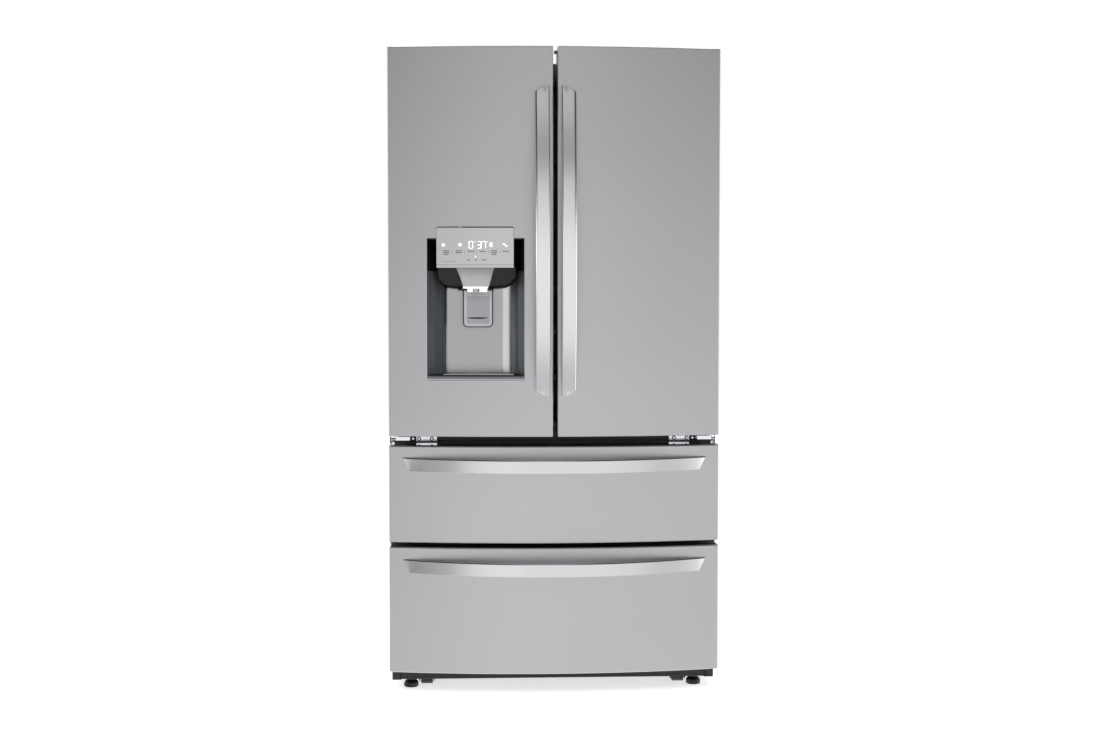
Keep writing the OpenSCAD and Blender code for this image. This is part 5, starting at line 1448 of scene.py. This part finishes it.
# The black arm is wider than the silver rim by 2.4 mm all round: its border is painted shadow for the gap
# round the paddle.
bm = bmesh.new()
soft_block(bm, (px0, pin_y - 1, low[2]), (px1, pin_y + 4, pin_z), 12, 8,
           lambda at, way: abs(way.y) > 4 and at.z < low[2] + 1)
rod(bm, (low[0], pin_y, pin_z), (high[0], pin_y, pin_z), 3, 24)
rod(bm, (px0, pin_y, pin_z), (px1, pin_y, pin_z), 4.9, 24)
make_piece("paddle_arm_with_painted_shadow", bm, black_abs_and_shade, "dispenser_paddle", ["dispenser_paddle"], angle=40)
bm = bmesh.new()
soft_block(bm, (px0 + 2.4, pin_y - 3.4, low[2] + 2.4), (px1 - 2.4, pin_y, pin_z - 2), 10, 8,
           lambda at, way: abs(way.y) > 3 and at.z < low[2] + 3)
front = [f for f in bm.faces if f.normal.y < -0.9]
bmesh.ops.inset_region(bm, faces=front, thickness=0.0062, depth=0, use_even_offset=True)
bmesh.ops.translate(bm, verts=list({v for f in front for v in f.verts}), vec=mm(0, 1.8, 0))
sharp = [e for e in bm.edges if e.is_manifold and e.calc_face_angle(0) > 0.6]
bevel(bm, sharp, 0.7, 2)
block(bm, (-238, pin_y - 3.2, 1096.4), (-181.5, pin_y - 1, 1100.6))
make_piece("paddle_rim", bm, funnel_abs, "dispenser_paddle", angle=40)
# The paddle's face inside the rim, in the darker copy of the same silver plastic: painted shade.
bm = bmesh.new()
soft_block(bm, (px0 + 9.2, pin_y - 1.9, low[2] + 9.2), (px1 - 9.2, pin_y - 1, pin_z - 12), 5, 6,
           lambda at, way: abs(way.y) > 0.5 and at.z < low[2] + 10)
make_piece("paddle_face", bm, paddle_face_painted_shade, "dispenser_paddle", angle=40)
# The finger slot is a flat dark crescent laid on the paddle, not cut into it: painted shade for the hollow
# of the slot.
slot_painted_shade = moulded("shadowed_slot", "#1c1d1f", 0.5)
bm = bmesh.new()
turns = [i * math.pi / 12 for i in range(24)]
raised(bm, [(-210 + 28.5 * math.cos(t), pin_y - 2.3,
             1037.4 + math.sin(t) * (0.9 if t < math.pi else 3.6)) for t in turns],
       0, 0.6, 0)
make_piece("paddle_finger_slot_painted_shade", bm, slot_painted_shade, "dispenser_paddle")

# ---- Drip tray -----------------------------------------------------------------------------------
# A shallow tray that slides forward out of the recess for emptying. Its black body carries a satin
# metal plate with low ridges, which lies level with the foot of the back sheet.

low, high = box_mm("dispenser_tray")
bm = bmesh.new()
columns = spread(low[0], high[0], 20)
raised(bm, [(x, bow(x, 4), low[2]) for x in columns] + [(high[0] - 8, high[1], low[2]),
                                                        (low[0] + 8, high[1], low[2])],
       0, 0, high[2] - low[2] - 5)
rounded(bm, bm.verts, 1.2, 3)
make_piece("drip_tray", bm, black_abs_and_shade, "dispenser_tray", ["dispenser_tray"])
bm = bmesh.new()
columns = spread(-304, -113, 20)
outline = [(x, bow(x, 4.2)) for x in columns] + [(-113, high[1] - 1), (-304, high[1] - 1)]
raised(bm, [(x, y, high[2] - 4.8) for x, y in outline], 0, 0, 3)
rounded(bm, bm.verts, 0.9, 2)
for n in range(5):
    soft_block(bm, (-290, edge_y - 12 + n * 12, high[2] - 2.2), (-127, edge_y - 6 + n * 12, high[2] - 1.4),
               0.3, 1)
make_piece("drip_tray_plate", bm, metallised, "dispenser_tray")

# ---- Control panel -------------------------------------------------------------------------------
# A silver foil panel bonded to a plastic back, standing a little proud of the skin. The keys are
# touch areas behind the foil, and white diodes shine through fine holes in it as numbers and marks.

panel_foil = stainless("silver_panel_foil", "#dadbdd", 0.34, along_mm=30, across_mm=0.6)
px0, px1, groove_z = panel_low[0] - 1, panel_high[0] - 2.8, 1181.5
# A black band behind the panel, showing round its top and sides as a thin dark line: painted shadow for the
# gap under the panel's proud edge.
bm = bmesh.new()
bowed_band(bm, px0 - 0.6, px1 + 0.6, recess_high[2] + 0.5, panel_high[2] + 2.2, 0.6, 2)
rounded(bm, bm.verts, 4, 4, lambda at, way: abs(way.y) > 1 and at.z > panel_high[2])
panel_shadow_seal = moulded("black_seal_painted_shadow", "#232426", 0.6)
make_piece("panel_edge_painted_shadow", bm, panel_shadow_seal, "left_door")
bm = bmesh.new()
bowed_band(bm, px0, px1, groove_z + 0.6, panel_high[2] - 0.6, 4, 16)
rounded(bm, bm.verts, 2.6, 4, lambda at, way: abs(way.y) > 8 and at.z > panel_high[2] - 2)
rounded(bm, bm.verts, 0.9, 3)
make_piece("control_panel_front", bm, panel_foil, "left_door", ["control_panel"])
bm = bmesh.new()
bowed_band(bm, px0, px1, panel_low[2] + 2.2, groove_z - 0.6, 4, 16)
rounded(bm, bm.verts, 0.7, 2)
bowed_band(bm, px0 + 1.2, px1 - 1.2, panel_low[2] + 3, panel_high[2] - 3, 2.8, 14)
make_piece("control_panel_foot", bm, panel_foil, "left_door")

lit, tree, shader, where = new_surface("white_diode_light", Base_Color=white, Emission_Color=white,
                                       Emission_Strength=0.7)
dots = add_node(tree, "ShaderNodeTexNoise", {"Scale": 1500.0}, where)
speck = add_node(tree, "ShaderNodeMapRange", {"To Min": 0.35, "To Max": 0.5}, dots.outputs["Fac"])
tree.links.new(speck.outputs[0], shader.inputs["Roughness"])
ink = moulded("grey_panel_ink", "#4c4d50", 0.5)


def flat_mark(bm, points, lift=4.12, thick=0.1):
    """A small flat shape on the panel's face, from points in X and Z."""
    raised(bm, [(x, bow(x) - lift, z) for x, z in points], 0, thick, 0)


def bar(bm, x, z, length, width, upright=False):
    """A bar with pointed ends."""
    a, b = length / 2, width / 2
    shape = [(-a, 0), (-a + b, b), (a - b, b), (a, 0), (a - b, -b), (-a + b, -b)]
    flat_mark(bm, [(x + u, z + v) if upright else (x + v, z + u) for v, u in shape])


def digit(bm, x, z, value, height=18.4, width=10, stroke=1.6):
    """A numeral of seven bars."""
    h, w = height / 4, width / 2
    places = {"a": (0, 2 * h), "g": (0, 0), "d": (0, -2 * h), "f": (-w, h), "b": (w, h), "e": (-w, -h),
              "c": (w, -h)}
    for key in {0: "adfbec", 3: "agdbc", 7: "abc"}[value]:
        dx, dz = places[key]
        bar(bm, x + dx, z + dz, 2 * h - 1 if dx else width - 1, stroke, upright=bool(dx))


def disc(bm, x, z, radius):
    """A small round mark."""
    turns = [a * math.tau / 16 for a in range(16)]
    flat_mark(bm, [(x + radius * math.cos(t), z + radius * math.sin(t)) for t in turns])


row_z = 1234.5
bm = bmesh.new()
for x, value in ((-228, 0), (-205.5, 3), (-193.4, 7)):
    digit(bm, x, row_z, value)
for x in (-217.2, -184.2):
    disc(bm, x, 1243.2, 1.2)
for turn in range(3):
    a = turn * math.pi / 3
    flat_mark(bm, [(-302.6 + u * math.cos(a) - v * math.sin(a), row_z + u * math.sin(a) + v * math.cos(a))
                   for u, v in ((-5, -0.6), (5, -0.6), (5, 0.6), (-5, 0.6))])
disc(bm, -302.6, row_z, 2.2)
for radius in (3.6, 6.2, 8.8):
    turns = [math.radians(t) for t in range(-40, 41, 16)]
    arc = [(r, t) for r, way in ((radius, 1), (radius - 2, -1)) for t in turns[::way]]
    flat_mark(bm, [(-257.5 + r * math.sin(t), 1229.5 + r * math.cos(t)) for r, t in arc])
for row in range(3):
    bar(bm, -173.8, 1231.2 + row * 3.8, 8.5, 2.6)
for x, z, r in ((-140, 1237.5, 2.0), (-135.5, 1234, 1.8), (-131.5, 1230.5, 1.7)):
    disc(bm, x, z, r)
flat_mark(bm, [(-218, 1201.8), (-213, 1201.8), (-215.5, 1205.2)])
make_piece("lit_display_marks", bm, lit, "left_door")
bm = bmesh.new()
for x, lines in ((-295, 3), (-261, 2), (-228, 1), (-197, 1), (-165.5, 3), (-134, 1)):
    for n in range(lines):
        bar(bm, x, 1218.5 - n * 4.8 - (1.5 if lines == 1 else 0), 18 - 4 * (n == 2), 2.3)
for x in (-278.5, -246, -213, -180.5, -149):
    bar(bm, x, 1216, 8, 0.7, upright=True)
for x, length in ((-234.5, 10), (-214.5, 9), (-192.5, 15)):
    bar(bm, x, 1194, length, 2.4)
bar(bm, -286, 1189.5, 40, 0.8)
make_piece("printed_key_marks", bm, ink, "left_door")

# ---- Freezer drawers -----------------------------------------------------------------------------
# Each drawer front carries a formed inner panel, a bellows gasket, a deep white basket, and two
# zinc-plated rails that roll in channels screwed to the freezer's side walls.

basket_white = moulded("white_polypropylene_basket", "#dfe2e4", 0.35, grain_mm=1.4, depth_mm=0.03)
rail_zinc = galvanised("zinc_plated_slide_rail", "#bcbfc3", 0.3, 3.0)
for label in ("upper", "lower"):
    body = f"{label}_drawer"
    skin_low, skin_high = box_mm(f"{label}_drawer_skin")
    z0, z1 = skin_low[2], skin_high[2]
    bm = bmesh.new()
    columns = spread(-452.6, 452.6, 24)
    for at in (z0 + 1.4, z1 - 1.4):
        outline = [(x, bow(x, 2) + 2) for x in columns] + [(452.6, door_back - 5), (-452.6, door_back - 5)]
        bm.faces.new([bm.verts.new(mm(x, y, at)) for x, y in outline])
    make_piece(f"{label}_drawer_foam_caps", bm, cap_dark, body)
    bm = bmesh.new()
    inner_panel(bm, (-452.4, 452.4, z0 + 1.5, z1 - 1.5), (-372, 372, z0 + 60, z1 - 60), 16, door_back,
                -267.2, 12)
    laid_back(bm)
    for x in (-300, -100, 100, 300):
        soft_block(bm, (x - 8, -284.8, z0 + 84), (x + 8, -277, z1 - 84), 3, 3)
    make_piece(f"{label}_drawer_inner_panel", bm, door_white, body, [f"{label}_drawer_core"])
    bellows(body)

    low, high = box_mm(f"{label}_drawer_basket")
    bm = bmesh.new()
    tray(bm, (low[0] + 0.2, low[1] + 0.3, low[2] + 0.3), (high[0] - 0.2, high[1] - 0.3, high[2]), 20, 2.8,
         14, 5, 7)
    for x in spread(low[0] + 96, high[0] - 96, 6):
        soft_block(bm, (x - 2, low[1] + 40, low[2] + 2.4), (x + 2, high[1] - 40, low[2] + 5), 1, 2)
    soft_block(bm, (-1.6, low[1] + 17, low[2] + 3), (1.6, high[1] - 17, high[2] - 24), 1.2, 2)
    make_piece(f"{label}_drawer_tub", bm, basket_white, body, [f"{label}_drawer_basket"])

    low, high = box_mm(f"{label}_drawer_slides")
    bm = bmesh.new()
    for side in (-1, 1):
        for x, width, up, down in ((394.2, 1.8, 0.1, 0.1), (399.0, 1.6, 5, 5)):
            a, b = sorted((side * (x - width), side * (x + width)))
            soft_block(bm, (a, low[1] + 0.5, low[2] + down), (b, high[1] - 0.5, high[2] - up), 0.8, 2)
        for y in spread(low[1] + 60, high[1] - 30, 11):
            rod(bm, (side * 392.2, y, low[2] + 10), (side * 393.4, y, low[2] + 10), 3.2, 16)
    make_piece(f"{label}_drawer_rails", bm, rail_zinc, body, [f"{label}_drawer_slides"])
eased("slide_channels", "drawer_guides", rail_zinc, 0.5, 2)
